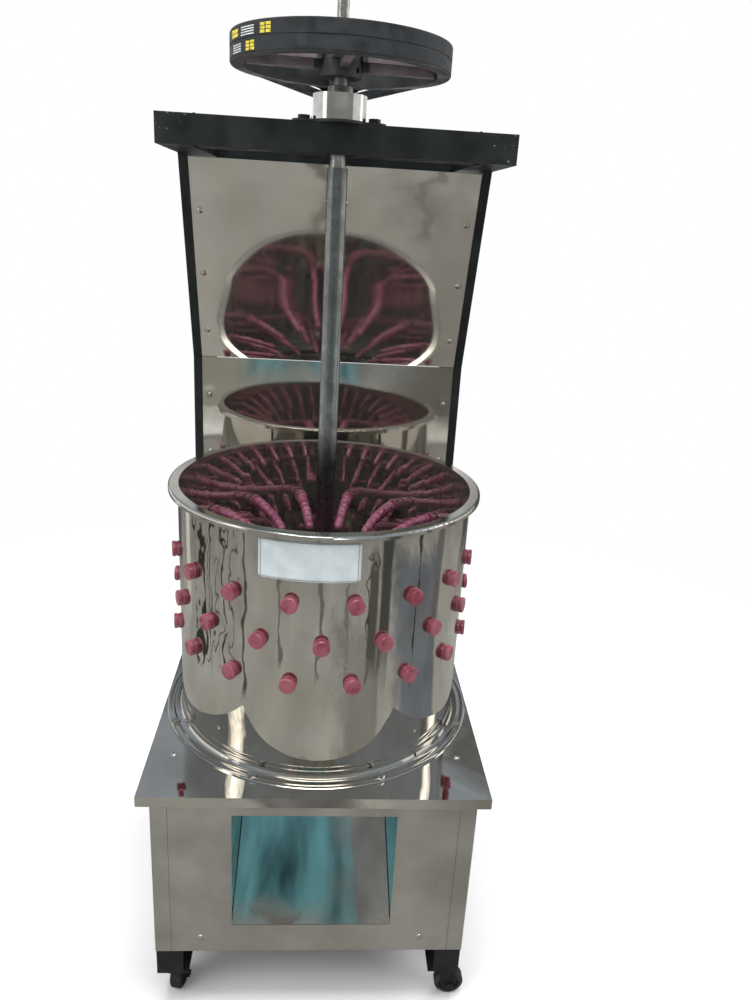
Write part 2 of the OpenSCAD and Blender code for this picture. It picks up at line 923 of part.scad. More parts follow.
module cross_beam() {
    color("#272b2d") difference() {
        box(-arm_in, arm_in, -beam_front, beam_front, arm_height, arm_top);
        box(-arm_in - cut, arm_in + cut, -beam_front + arm_wall, beam_front - arm_wall,
            arm_height + arm_wall, arm_top - arm_wall);
        translate([0, 0, arm_height - cut])
            cylinder(d = housing_low_d + 2 * slip, h = arm_h + 2 * cut);
        at_housing_bolts() bolt_hole(flange_bolt_d);
    }
}

// Children sit on the housing flange and point up
module at_housing_bolts() {
    both_sides() translate([flange_bolt_x, 0, arm_top + flange_t]) children();
}

// Children sit on the inside of the bracket flange and point at the machine's middle
module at_tension_bolts() {
    for (y = tension_y)
        translate([arm_in - flange_side_t, y, tension_z]) rotate([0, -90, 0]) children();
}

module frame_bolts() {
    color("#55595c") {
        at_bracket_bolts() bolt_and_nut(frame_bolt_d, bracket_t + panel_sheet + leg_t);
        at_housing_bolts() bolt_and_nut(flange_bolt_d, flange_t + arm_wall);
        both_sides() at_tension_bolts() bolt_and_nut(flange_bolt_d, flange_side_t + arm_wall);
    }
}

module bearing_housing() {
    seat = bearing_w + bearing_lip;
    low_seat = low_bearing_w + bearing_lip;
    ear_r = flange_ear_r;
    color("#c4c7c9") difference() {
        union() {
            translate([0, 0, arm_top]) cylinder(d = housing_d, h = housing_top - arm_top);
            translate([0, 0, housing_low]) cylinder(d = housing_low_d, h = arm_top - housing_low);
            box(-flange_bolt_x, flange_bolt_x, -ear_r, ear_r, arm_top, arm_top + flange_t);
            both_sides() translate([flange_bolt_x, 0, arm_top]) cylinder(r = ear_r, h = flange_t);
        }
        translate([0, 0, housing_low - cut])
            cylinder(d = low_bearing_d - 2 * bearing_shelf, h = housing_top - housing_low + 2 * cut);
        translate([0, 0, housing_low - cut]) cylinder(d = low_bearing_d, h = low_seat + cut);
        translate([0, 0, housing_top - seat]) cylinder(d = bearing_d, h = seat + cut);
        at_housing_bolts() bolt_hole(flange_bolt_d);
    }
}

module ball_bearing(z, d, w) {
    in_r = shaft_d / 2 + fit;
    out_r = d / 2 - fit;
    ring = (out_r - in_r) / 3;
    seal = bearing_seal;
    color("#9fa3a6") translate([0, 0, z]) rotate_extrude()
        polygon([[in_r, 0], [in_r + ring, 0], [in_r + ring, seal], [out_r - ring, seal],
            [out_r - ring, 0], [out_r, 0], [out_r, w], [out_r - ring, w],
            [out_r - ring, w - seal], [in_r + ring, w - seal], [in_r + ring, w], [in_r, w]]);
}

module shaft_bearings() {
    ball_bearing(bearing_top - bearing_w, bearing_d, bearing_w);
    ball_bearing(housing_low + bearing_lip, low_bearing_d, low_bearing_w);
}

// Rotor: shaft, tube, pulley and finger plate

module at_key(side) {
    keyed_r = shaft_end_d / 2;
    w = key_w / 2 + side;
    box(keyed_r - key_in - side, keyed_r + key_out + side, -w, w,
        belt_height - key_len / 2 - side, belt_height + key_len / 2 + side);
}

// A cross hole or pin along X
module cross_pin(d, length, z) {
    translate([0, 0, z]) rotate([0, 90, 0]) cylinder(d = d, h = length, center = true);
}

module main_shaft() {
    color("#a4a6a8") difference() {
        union() {
            translate([0, 0, shaft_low]) cylinder(d = shaft_d, h = shoulder_z - shaft_low);
            translate([0, 0, shoulder_z - cut])
                cylinder(d = shaft_end_d, h = shaft_tip_z - shoulder_z + cut);
            translate([0, 0, shaft_tip_z - cut])
                cylinder(d = shaft_tip_d, h = shaft_top - shaft_bevel - shaft_tip_z + cut);
            translate([0, 0, shaft_top - shaft_bevel])
                cylinder(d1 = shaft_tip_d, d2 = shaft_tip_d - 2 * shaft_bevel, h = shaft_bevel);
        }
        at_key(fit);
        cross_pin(pin_d + 2 * fit, 2 * tube_d, pin_z);
    }
}

module drive_tube() {
    color("#7d8082") difference() {
        translate([0, 0, plate_top]) cylinder(d = tube_d, h = tube_top - plate_top);
        translate([0, 0, plate_top - cut])
            cylinder(d = shaft_d + 2 * fit, h = tube_top - plate_top + 2 * cut);
        cross_pin(pin_d + 2 * fit, 2 * tube_d, pin_z);
        cross_pin(pin_d + 2 * fit, 2 * tube_d, hub_pin_z);
    }
}

module tube_pins() {
    color("#8d9093") {
        cross_pin(pin_d, tube_d + 2 * pin_out, pin_z);
        cross_pin(pin_d, hub_d + 2 * pin_out, hub_pin_z);
    }
}

module lock_collar() {
    color("#6d7174") translate([0, 0, collar_z]) difference() {
        cylinder(d = collar_d, h = collar_w);
        translate([0, 0, -cut]) cylinder(d = shaft_d + 2 * fit, h = collar_w + 2 * cut);
        translate([0, 0, collar_w / 2]) rotate([90, 0, 0])
            cylinder(d = collar_screw_d, h = collar_d);
    }
}

// Outline of one belt groove, upwards along the pulley edge
function groove(r, z) =
    let (top = belt_w / 2 + belt_clear - belt_proud * tan(flank),
        floor_r = r + belt_proud - belt_t - belt_floor,
        low = belt_w / 2 + belt_clear - (belt_t + belt_floor) * tan(flank))
    [[r, z - top], [floor_r, z - low], [floor_r, z + low], [r, z + top]];

module grooved_rim(r, r_in) {
    z0 = belt_height - pulley_face / 2;
    z1 = belt_height + pulley_face / 2;
    rotate_extrude($fn = 128) polygon(concat([[r_in, z0], [r, z0]],
        groove(r, belt_height - belt_step / 2), groove(r, belt_height + belt_step / 2),
        [[r, z1], [r_in, z1]]));
}

module drive_pulley() {
    rim_in = pulley_r + belt_proud - belt_t - belt_floor - rim_wall;
    hub_z = belt_height - pulley_face / 2 - hub_drop;
    arm_from = pulley_hub_r - pulley_arm_root;
    arm_to = rim_in + pulley_arm_root;
    color("#34383b") rotate([0, 0, pulley_phase]) difference() {
        union() {
            grooved_rim(pulley_r, rim_in);
            translate([0, 0, hub_z]) cylinder(r = pulley_hub_r, h = pulley_face + hub_drop);
            for (i = [0 : pulley_arms_n - 1]) rotate([0, 0, i * 360 / pulley_arms_n - 90]) {
                pulley_arm(arm_from, arm_to, pulley_arm_w, pulley_arm_t);
                pulley_arm(arm_from, arm_to, pulley_arm_t, pulley_arm_w);
            }
        }
        translate([0, 0, hub_z - cut])
            cylinder(d = shaft_end_d + 2 * fit, h = pulley_face + hub_drop + 2 * cut);
        rotate([0, 0, -pulley_phase]) at_key(fit);
        translate([0, 0, hub_z + pulley_screw_z]) rotate([90, 0, 45])
            cylinder(d = pulley_screw_d, h = pulley_hub_r + cut);
    }
}

module pulley_arm(r0, r1, wide, tall) {
    box(r0, r1, -wide / 2, wide / 2, belt_height - tall / 2, belt_height + tall / 2);
}

module pulley_key() {
    color("#8d9093") at_key(0);
}

// The straight runs are a hair thinner than the bends and reach a little way into them
module belt(z) {
    color("#1d1f20") translate([0, 0, z]) {
        rotate([0, 0, 180 - belt_turn]) rotate_extrude(angle = 180 + 2 * belt_turn)
            belt_section(belt_out_r, 0);
        translate([0, centre_distance, 0]) rotate([0, 0, belt_turn])
            rotate_extrude(angle = 180 - 2 * belt_turn) belt_section(belt_out_small, 0);
        both_sides() rotate([0, 0, belt_turn]) rotate([-90, 0, 0]) translate([0, 0, -cut])
            linear_extrude(belt_run + 2 * cut) belt_section(belt_out_r, fit);
    }
}

// Section of a belt whose back is at radius r, made smaller by thin on each side
module belt_section(r, thin) {
    out_w = belt_w / 2 - thin;
    in_w = belt_w / 2 - belt_t * tan(flank) - thin;
    polygon([[r - thin, -out_w], [r - thin, out_w],
        [r - belt_t + thin, in_w], [r - belt_t + thin, -in_w]]);
}

module upper_belt() { belt(belt_height + belt_step / 2); }
module lower_belt() { belt(belt_height - belt_step / 2); }

module at_plate_fingers() {
    around(stand_outer_n, stand_outer_r) children();
    around(stand_inner_n, stand_inner_r, 45) children();
}

module at_plate_bolts() {
    around(hub_bolts_n, hub_bolt_r, 30) children();
}

module finger_plate() {
    color("#b3b6b8") difference() {
        translate([0, 0, plate_z]) cylinder(r = plate_r, h = plate_t, $fn = 128);
        at_plate_fingers() translate([0, 0, plate_z - cut])
            cylinder(d = stand_neck_d + 2 * slip, h = plate_t + 2 * cut);
        at_plate_bolts() translate([0, 0, plate_z - cut])
            cylinder(d = frame_bolt_d + 2 * slip, h = plate_t + 2 * cut);
    }
}

module plate_hub() {
    color("#8a8e91") difference() {
        translate([0, 0, plate_top]) union() {
            cylinder(d = hub_flange_d, h = hub_flange_t);
            cylinder(d = hub_d, h = hub_h);
        }
        translate([0, 0, plate_top - cut])
            cylinder(d = tube_d + 2 * fit, h = hub_h + 2 * cut);
        at_plate_bolts() translate([0, 0, plate_top - cut])
            cylinder(d = frame_bolt_d + 2 * slip, h = hub_flange_t + 2 * cut);
        cross_pin(pin_d + 2 * fit, hub_d + 2 * cut, hub_pin_z);
    }
}

module plate_bolts() {
    color("#c9cccd") at_plate_bolts() translate([0, 0, plate_top + hub_flange_t])
        bolt_and_nut(frame_bolt_d, plate_t + hub_flange_t);
}

module standing_finger() {
    core_r = stand_neck_d / 2;
    low = -plate_t - stand_plug_t;
    collar_t = stand_plug_t / 2;
    rib_step = (stand_h - stand_first - core_r / 2) / finger_ribs;
    ribs = [for (i = [0 : finger_ribs - 1])
        let (r = core_r + stand_rib - rib_fade * i / finger_ribs, z = stand_first + i * rib_step)
        each [[core_r, z], [r, z + stand_ramp], [r, z + rib_step / 2],
            [core_r, z + rib_step / 2 + stand_ramp]]];
    rotate_extrude() polygon(concat(
        [[0, low], [stand_foot_r - stand_round, low], [stand_foot_r, low + stand_round],
            [stand_foot_r, -plate_t - fit], [core_r, -plate_t - fit], [core_r, fit],
            [stand_foot_r, fit], [stand_foot_r, collar_t], [core_r, collar_t + stand_round]],
        ribs, [[core_r, stand_h - core_r / 2], [core_r / 2, stand_h], [0, stand_h]]));
}

module plate_fingers() {
    color("#b04a63") at_plate_fingers() translate([0, 0, plate_top]) standing_finger();
}

// Motor, shaft up, behind the leaning panel

module at_motor() {
    translate([0, motor_y, 0]) children();
}

// Children sit on the foot bars and point backwards
module at_foot_bolts() {
    both_sides() for (z = foot_bar_z)
        translate([foot_bolt_x, motor_plate_y + foot_bar_t, z + foot_bar_h / 2])
            rotate([-90, 0, 0]) children();
}

module motor_bracket() {
    color("#24282a") difference() {
        union() {
            box(-arm_in, arm_in, motor_plate_y - motor_plate_t, motor_plate_y,
                motor_low, motor_plate_top);
            both_sides() box(arm_in - flange_side_t, arm_in, motor_plate_y - cut,
                motor_plate_y + flange_len, arm_height, arm_top);
        }
        at_foot_bolts() bolt_hole(foot_bolt_d);
        both_sides() at_tension_bolts() translate([0, 0, -flange_side_t - cut])
            rotate([0, 0, 90]) slot_cut(flange_bolt_d + 2 * slip, tension_slot, flange_side_t + 2 * cut);
    }
}

module motor_frame() {
    color("#4a5a63") difference() {
        union() {
            at_motor() {
                translate([0, 0, motor_low]) cylinder(r = motor_r, h = motor_len);
                around(fins_n, 0, 90)
                    box(motor_r - fin_root, fin_r, -fin_t / 2, fin_t / 2,
                        motor_low + fin_inset, motor_top - fin_inset);
                box(frame_bore_r, box_base_x, -box_neck, box_neck,
                    box_z + box_rim, box_z + box_tall - box_rim);
            }
            for (z = foot_bar_z) {
                box(-foot_bar_half, foot_bar_half, motor_plate_y, motor_plate_y + foot_bar_t,
                    z, z + foot_bar_h);
                both_sides() box(foot_web_x, foot_web_x + foot_web_w, motor_plate_y,
                    motor_y - motor_r / 2, z, z + foot_bar_h);
            }
        }
        at_motor() translate([0, 0, motor_low - cut])
            cylinder(r = frame_bore_r, h = motor_len + 2 * cut);
        at_foot_bolts() bolt_hole(foot_bolt_d);
    }
}

module motor_stator() {
    color("#77706a") at_motor() translate([0, 0, stator_z]) difference() {
        cylinder(r = frame_bore_r - fit, h = stator_len);
        translate([0, 0, -cut]) cylinder(r = rotor_r + gap, h = stator_len + 2 * cut);
    }
}

module end_shields() {
    bore_r = motor_shaft_d / 2 + fit;
    color("#b4b7b9") at_motor() {
        difference() {
            union() {
                translate([0, 0, motor_top]) cylinder(r = shield_r, h = shield_t);
                translate([0, 0, motor_top]) cylinder(r = boss_r, h = shield_t + boss_h);
            }
            translate([0, 0, motor_top - cut]) cylinder(r = bore_r, h = shield_t + boss_h + 2 * cut);
        }
        difference() {
            translate([0, 0, motor_low - shield_t]) cylinder(r = shield_r, h = shield_t);
            translate([0, 0, motor_low - shield_t - cut]) cylinder(r = bore_r, h = shield_t + 2 * cut);
        }
    }
}

module fan_cowl() {
    in_r = shield_r + slip;
    color("#3f4d55") at_motor() difference() {
        translate([0, 0, cowl_low]) cylinder(r = in_r + cowl_sheet, h = cowl_len - gap);
        translate([0, 0, cowl_low + cowl_sheet]) cylinder(r = in_r, h = cowl_len);
        translate([0, 0, cowl_low - cut]) {
            around(vent_inner_n, vent_inner_r) cylinder(d = vent_d, h = cowl_sheet + 2 * cut);
            around(vent_outer_n, vent_outer_r) cylinder(d = vent_d, h = cowl_sheet + 2 * cut);
        }
    }
}

module terminal_box() {
    color("#4a5a63") at_motor() difference() {
        box(box_base_x, box_base_x + box_deep, -box_wide / 2, box_wide / 2, box_z, box_z + box_tall);
        box(box_base_x + box_wall, box_base_x + box_deep - box_wall, -box_wide / 2 + box_wall,
            box_wide / 2 - box_wall, box_z + box_wall, box_z + box_tall - box_wall);
        translate([box_base_x + box_deep / 2, 0, box_z - cut])
            cylinder(d = gland_thread + 2 * slip, h = box_wall + 2 * cut);
    }
}

module cable_gland() {
    color("#1b1c1d") at_motor() translate([box_base_x + box_deep / 2, 0, box_z]) difference() {
        union() {
            translate([0, 0, -gland_hex_t]) cylinder(d = gland_hex, h = gland_hex_t, $fn = 6);
            translate([0, 0, -gland_len])
                cylinder(d1 = gland_tip, d2 = gland_d, h = gland_len - gland_hex_t + cut);
            translate([0, 0, -cut]) cylinder(d = gland_thread, h = gland_thread_len + cut);
        }
        translate([0, 0, -gland_len - cut])
            cylinder(d = gland_bore, h = gland_len + gland_thread_len + 2 * cut);
    }
}

module motor_bolts() {
    color("#8d9093") at_foot_bolts() bolt_and_nut(foot_bolt_d, foot_bar_t + motor_plate_t);
}

module motor_shaft() {
    color("#a4a6a8") at_motor() translate([0, 0, fan_z])
        cylinder(d = motor_shaft_d, h = motor_shaft_top - fan_z);
}

module motor_rotor() {
    color("#6a6d70") at_motor() translate([0, 0, stator_z]) difference() {
        cylinder(r = rotor_r, h = stator_len);
        translate([0, 0, -cut]) cylinder(d = motor_shaft_d + 2 * fit, h = stator_len + 2 * cut);
    }
}

module motor_fan() {
    color("#2a2c2e") at_motor() translate([0, 0, fan_z]) difference() {
        union() {
            cylinder(r = fan_hub_r, h = fan_h);
            translate([0, 0, fan_h - fan_disc_t]) cylinder(r = fan_r, h = fan_disc_t);
            around(fan_blades_n, 0)
                box(fan_hub_r - fan_blade_root, fan_r, -fan_blade_t / 2, fan_blade_t / 2, 0, fan_h - cut);
        }
        translate([0, 0, -cut]) cylinder(d = motor_shaft_d + 2 * fit, h = fan_h + 2 * cut);
    }
}

module motor_pulley() {
    color("#34383b") at_motor() difference() {
        union() {
            grooved_rim(motor_pulley_r, motor_shaft_d / 2 + fit);
            translate([0, 0, belt_height - pulley_face / 2 - hub_drop])
                cylinder(r = motor_shaft_d, h = hub_drop + cut);
        }
        translate([0, 0, belt_height - pulley_face / 2 - hub_drop - cut])
            cylinder(d = motor_shaft_d + 2 * fit, h = pulley_face + hub_drop + 2 * cut);
    }
}

placed() legs();
placed() frame_rails();
placed() caster_plates();
placed() front_panel();
placed() corner_trims();
placed() side_panels();
placed() rear_panel();
placed() feather_chute();
placed() deck_plate();
placed() drum_shell();
placed() drum_base_ring();
placed() ring_bolts();
placed() upper_fingers();
placed() middle_fingers();
placed() lower_fingers();
placed() left_post();
placed() right_post();
placed() back_ties();
placed() post_brackets();
placed() lower_back_panel();
placed() upper_back_panel();
placed() panel_screws();
placed() top_arms();
placed() cross_beam();
placed() frame_bolts();
placed() bearing_housing();
placed() shaft_bearings();
placed() motor_bracket();
placed() motor_frame();
placed() motor_stator();
placed() end_shields();
placed() fan_cowl();
placed() terminal_box();
placed() cable_gland();
placed() motor_bolts();
placed() upper_belt();
placed() lower_belt();
placed() main_shaft();
placed() drive_tube();
placed() tube_pins();
placed() lock_collar();
placed() drive_pulley();
placed() pulley_key();
placed() finger_plate();
placed() plate_hub();
placed() plate_bolts();
placed() plate_fingers();
placed() motor_shaft();
placed() motor_rotor();
placed() motor_fan();
placed() motor_pulley();
placed() front_left_fork();
placed() front_right_fork();
placed() rear_left_fork();
placed() rear_right_fork();
placed() front_left_wheel();
placed() front_right_wheel();
placed() rear_left_wheel();
placed() rear_right_wheel();
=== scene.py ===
"""Looks of the poultry plucker: finishes, label place, belt print, small trim, camera and studio.

Lengths are metres in the part's frame: X right, Y away from the operator, Z up from the floor.
"""

import json
import math

import bmesh
import bpy
from mathutils import Matrix, Vector


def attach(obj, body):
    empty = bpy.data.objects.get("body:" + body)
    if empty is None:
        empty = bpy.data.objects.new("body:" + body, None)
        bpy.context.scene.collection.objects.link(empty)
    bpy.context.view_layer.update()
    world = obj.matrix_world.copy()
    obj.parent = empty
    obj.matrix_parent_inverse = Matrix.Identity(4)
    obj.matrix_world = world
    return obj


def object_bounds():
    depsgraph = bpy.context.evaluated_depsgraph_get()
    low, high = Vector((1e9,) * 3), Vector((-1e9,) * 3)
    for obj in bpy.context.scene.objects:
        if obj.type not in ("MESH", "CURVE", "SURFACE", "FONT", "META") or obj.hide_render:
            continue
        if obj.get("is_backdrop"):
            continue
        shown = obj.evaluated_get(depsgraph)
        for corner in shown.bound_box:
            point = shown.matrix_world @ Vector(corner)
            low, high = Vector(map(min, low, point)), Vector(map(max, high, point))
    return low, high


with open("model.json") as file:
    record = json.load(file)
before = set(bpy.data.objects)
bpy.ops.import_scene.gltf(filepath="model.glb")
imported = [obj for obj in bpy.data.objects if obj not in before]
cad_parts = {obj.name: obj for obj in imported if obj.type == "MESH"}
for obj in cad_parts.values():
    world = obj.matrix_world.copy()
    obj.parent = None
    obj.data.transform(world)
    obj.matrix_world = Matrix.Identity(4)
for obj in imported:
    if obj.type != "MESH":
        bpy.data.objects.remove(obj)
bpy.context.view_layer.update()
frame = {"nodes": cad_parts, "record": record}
nodes = frame["nodes"]

# Places on the CAD model
DRUM_Y = -0.054                     # axis of the drum, the shaft and the large pulley
WALL_R = 0.254                      # outside of the drum's wall
WALL_INSIDE = WALL_R - 0.0007       # within the wall's thickness
RIM_LOW = 0.8835                    # where the drum's rim turns out
WEB_FROM, WEB_TO = 0.042, 0.1405    # large pulley, from its hub to its rim
BELT_R = 0.1647                     # back of the belts on the large pulley
UPPER_BELT_Z = 1.5645
LOWER_BELT_Z = 1.5455
SEAM_Z = 1.048                      # between the two mirror panels
FLANGE_TOP = 1.4682                 # of the bearing housing
BEAM_END_X, BEAM_END_Z = 0.222, 1.405    # the top frame's front corners lie beyond these
POST_IN, POST_OUT = 0.258, 0.274    # faces of each back post
POST_EDGES_Y = (0.1155, 0.1555)     # front and back of a post under the arms
ARM_LOW, ARM_TOP = 1.420, 1.464
ARM_IN = 0.216
BEAM_FRONT, BEAM_BACK = DRUM_Y - 0.026, DRUM_Y + 0.027
TIE_BACK = 0.2632
TIE_LOWS, TIE_WELD = (0.520, 1.008), 0.030
BRACKET_BACK = 0.256
BRACKET_LOWS, BRACKET_WELD = (0.170, 0.380), 0.060
MOTOR_Y = 0.278                     # motor axis
MOTOR_FLANGE_Z, FLANGE_STUD_R = 1.497, 0.064
COWL_R, COWL_STUD_Z = 0.0771, 1.286
BOX_OUT = 0.124                     # outer face of the terminal box
LID_THICK, LID_HALF = 0.003, 0.046
LID_LOW, LID_HIGH = 1.3520, 1.4330
LID_STUD_Y, LID_STUDS_Z = 0.038, (1.3605, 1.4245)

# Features a metre along X, Y and Z for the lines of a finish
UPRIGHT = (220, 220, 4)
ACROSS = (4, 220, 220)
TURNED = (60, 60, 900)
ROLLED = (260, 260, 5)


def srgb(r, g, b):
    """Linear colour of a display colour that is given from 0 to 255."""
    def linear(c):
        c /= 255
        return c / 12.92 if c <= 0.04045 else ((c + 0.055) / 1.055) ** 2.4
    return (linear(r), linear(g), linear(b), 1.0)


class Finish:
    """A Principled material whose textures read object coordinates, in metres."""

    def __init__(self, name, **constants):
        self.material = bpy.data.materials.new(name)
        self.material.use_nodes = True
        self.tree = self.material.node_tree
        self.shader = self.tree.nodes["Principled BSDF"]
        self.coords = self.add("ShaderNodeTexCoord").outputs["Object"]
        self.normal = None
        for socket, value in constants.items():
            self.set(socket.replace("_", " ").title().replace("Ior", "IOR"), value)

    def add(self, kind, **sockets):
        node = self.tree.nodes.new(kind)
        for name, value in sockets.items():
            self.put(node.inputs[name.replace("_", " ")], value)
        return node

    def put(self, socket, value):
        """Links a socket's value, or sets a plain one."""
        if isinstance(value, bpy.types.NodeSocket):
            self.tree.links.new(value, socket)
        else:
            socket.default_value = value

    def set(self, socket, value):
        self.put(self.shader.inputs[socket], value)

    def noise(self, scale, detail=3.0, stretch=(1, 1, 1)):
        """Noise with about scale features a metre; stretch multiplies each axis."""
        place = self.add("ShaderNodeMapping", Vector=self.coords,
                         Scale=[scale * s for s in stretch])
        return self.add("ShaderNodeTexNoise", Vector=place.outputs["Vector"], Scale=1.0,
                        Detail=detail).outputs["Fac"]

    def spread(self, value, low, high, start=0.35, end=0.65, smooth=False):
        """Maps a texture from start..end to low..high, held at both ends."""
        node = self.add("ShaderNodeMapRange", Value=value, From_Min=start, From_Max=end,
                        To_Min=low, To_Max=high)
        if smooth:
            node.interpolation_type = "SMOOTHSTEP"
        return node.outputs["Result"]

    def math(self, operation, a, b=0.0):
        node = self.tree.nodes.new("ShaderNodeMath")
        node.operation = operation
        self.put(node.inputs[0], a)
        self.put(node.inputs[1], b)
        return node.outputs["Value"]

    def blend(self, factor, first, second):
        """A colour between two: the Mix node's colour sockets have no names of their own."""
        node = self.tree.nodes.new("ShaderNodeMix")
        node.data_type = "RGBA"
        self.put(node.inputs[0], factor)
        self.put(node.inputs[6], first)
        self.put(node.inputs[7], second)
        return node.outputs[2]

    def axis(self, letter):
        return self.add("ShaderNodeSeparateXYZ", Vector=self.coords).outputs[letter]

    def length(self, vector):
        node = self.add("ShaderNodeVectorMath", Vector=vector)
        node.operation = "LENGTH"
        return node.outputs["Value"]

    def axis_distance(self):
        """How far a point is from the drum's axis."""
        level = self.add("ShaderNodeMapping", Vector=self.coords, Location=(0, -DRUM_Y, 0),
                         Scale=(1, 1, 0))
        return self.length(level.outputs["Vector"])

    def inside_drum(self):
        """One within the drum's wall and zero outside it."""
        return self.math("LESS_THAN", self.axis_distance(), WALL_INSIDE)

    def dimples(self, places, inner, outer):
        """Zero at each place, rising to one at the outer distance."""
        total = None
        for place in places:
            away = self.add("ShaderNodeVectorMath")
            away.operation = "DISTANCE"
            self.put(away.inputs[0], self.coords)
            self.put(away.inputs[1], place)
            level = self.spread(away.outputs["Value"], 0, 1, inner, outer, smooth=True)
            total = self.math("MULTIPLY", total, level) if total else level
        return total

    def bump(self, height, distance):
        """Adds relief of up to distance metres on top of any earlier relief."""
        node = self.add("ShaderNodeBump", Height=height, Distance=distance, Strength=1.0)
        if self.normal:
            self.put(node.inputs["Normal"], self.normal)
        self.normal = node.outputs["Normal"]
        self.set("Normal", self.normal)

    def mix_surface(self, factor, first, second):
        """Shows a mix of two shaders in place of the plain one."""
        mixed = self.tree.nodes.new("ShaderNodeMixShader")
        for socket, value in zip(mixed.inputs, (factor, first, second)):
            self.put(socket, value)
        self.put(self.tree.nodes["Material Output"].inputs["Surface"], mixed.outputs["Shader"])


CLEAN = srgb(196, 192, 184)
SMEARED = srgb(182, 177, 167)

# Roughness that polishing lines, a panel's back and the drum's buffed rim add to a polished sheet
LINES_ROUGH = 0.014
BACK_ROUGH = 0.36
RIM_ROUGH = 0.10

SCREW_REACH = (0.003, 0.028)        # from a screw's middle to where the sheet is flat again
SCREW_DEPTH = 0.0003
FLARE_REACH = 0.16                  # height over which the panel's lower edge springs out
RIPPLE_TURN = 560                   # radians a metre: ripples about 11 mm apart


def polished_sheet(name, lines, wave=0.0012, rough=(0.012, 0.045), screws=(), flare=0.0,
                   rim=None, film=0.0, spun=0.0):
    """Mirror-polished stainless sheet: polishing lines, handling smears and a slight waviness.

    A sheet with screws is drawn in a little round each one, and its back keeps the mill's dull
    finish. Flare is how far its lower edge, at the panel seam, springs out of line. Above rim, the
    turned edge is buffed and not polished. Film is the share of a dull film of dust and dried
    water, which a sheet with a rim has on the inside alone. Spun is the depth of ripples round the
    drum's axis.
    """
    f = Finish(name, metallic=1.0)
    smear = f.noise(7, 5)
    f.set("Base Color", f.blend(f.spread(smear, 0, 1, 0.4, 0.7), CLEAN, SMEARED))
    streak = f.spread(f.noise(1, 3, lines), 0, LINES_ROUGH)
    roughness = f.math("ADD", f.spread(smear, rough[0], rough[1], 0.45, 0.75), streak)
    if screws:
        normal = f.add("ShaderNodeTexCoord").outputs["Normal"]
        facing = f.add("ShaderNodeSeparateXYZ", Vector=normal)
        back = f.math("GREATER_THAN", facing.outputs["Y"], 0.2)
        roughness = f.math("ADD", roughness, f.math("MULTIPLY", back, BACK_ROUGH))
        f.bump(f.dimples(screws, *SCREW_REACH), SCREW_DEPTH)
    if rim:
        turned = f.math("GREATER_THAN", f.axis("Z"), rim)
        roughness = f.math("ADD", roughness, f.math("MULTIPLY", turned, RIM_ROUGH))
    if flare:
        f.bump(f.spread(f.axis("Z"), 1, 0, SEAM_Z, SEAM_Z + FLARE_REACH, smooth=True), flare)
    if film:
        share = f.spread(smear, 0.7 * film, 1.3 * film, 0.4, 0.7)
        if rim:
            share = f.math("MULTIPLY", share, f.inside_drum())
        f.set("Metallic", f.math("SUBTRACT", 1.0, share))
    if spun:
        ripple = f.math("SINE", f.math("MULTIPLY", f.axis_distance(), RIPPLE_TURN))
        f.bump(f.spread(ripple, 0, 1, -1, 1), spun)
    f.set("Roughness", roughness)
    f.bump(f.noise(5, 1), wave)
    return f.material


def satin_sheet():
    """Mill-finish cabinet sheet: dull, mottled, with faint upright rolling lines."""
    f = Finish("satin_steel", metallic=1.0)
    mottle = f.noise(9, 7)
    f.set("Base Color", f.blend(f.spread(mottle, 0, 1, 0.36, 0.64),
                                srgb(194, 191, 184), srgb(172, 168, 160)))
    rolling = f.noise(1, 2, ROLLED)
    f.set("Roughness", f.math("ADD", f.spread(mottle, 0.38, 0.46),
                              f.spread(rolling, -0.04, 0.04)))
    f.bump(rolling, 0.00003)
    f.bump(f.noise(4, 2), 0.0012)
    return f.material


def black_paint(name, worn=True):
    """Brushed black enamel with dust; worn paint is chipped at the top frame's front corners."""
    f = Finish(name, specular_ior_level=0.25)
    dust = f.noise(24, 6)
    colour = f.blend(f.spread(dust, 0, 1), srgb(15, 18, 18), srgb(27, 31, 31))
    if worn:
        ends = f.math("GREATER_THAN", f.math("ABSOLUTE", f.axis("X")), BEAM_END_X)
        top = f.math("GREATER_THAN", f.axis("Z"), BEAM_END_Z)
        front = f.math("LESS_THAN", f.axis("Y"), 0.0)
        zone = f.math("MULTIPLY", f.math("MULTIPLY", ends, top), front)
        chips = f.spread(f.noise(190, 4), 0, 1, 0.68, 0.70)
        colour = f.blend(f.math("MULTIPLY", zone, chips), colour, srgb(146, 148, 147))
    f.set("Base Color", colour)
    f.set("Roughness", f.spread(dust, 0.42, 0.62))
    f.bump(f.noise(320, 3), 0.00012)
    return f.material


def finger_rubber():
    """Pink-crimson moulded rubber, a little paler where it is dusty; inside the drum a greyer, more
    mauve copy is painted glare.
    """
    f = Finish("finger_rubber", specular_ior_level=0.6)
    bloom = f.noise(45, 5)
    own_rubber = f.blend(f.spread(bloom, 0, 1), srgb(116, 47, 60), srgb(142, 76, 89))
    # Inside the drum a greyer, more mauve copy of the rubber paints in the glare there
    painted_glare_rubber = f.blend(f.spread(bloom, 0, 1), srgb(108, 50, 72), srgb(134, 80, 100))
    f.set("Base Color", f.blend(f.inside_drum(), own_rubber, painted_glare_rubber))
    f.set("Roughness", f.spread(bloom, 0.22, 0.42))
    f.bump(f.noise(900, 2), 0.00008)
    return f.material


def belt_rubber():
    """Black wrapped belt with a fine fabric grain and grey wear."""
    f = Finish("belt_rubber", specular_ior_level=0.4)
    wear = f.noise(60, 5)
    f.set("Base Color", f.blend(f.spread(wear, 0, 1), srgb(20, 22, 24), srgb(40, 43, 46)))
    f.set("Roughness", f.spread(wear, 0.5, 0.75))
    f.bump(f.noise(1400, 2), 0.0001)
    return f.material


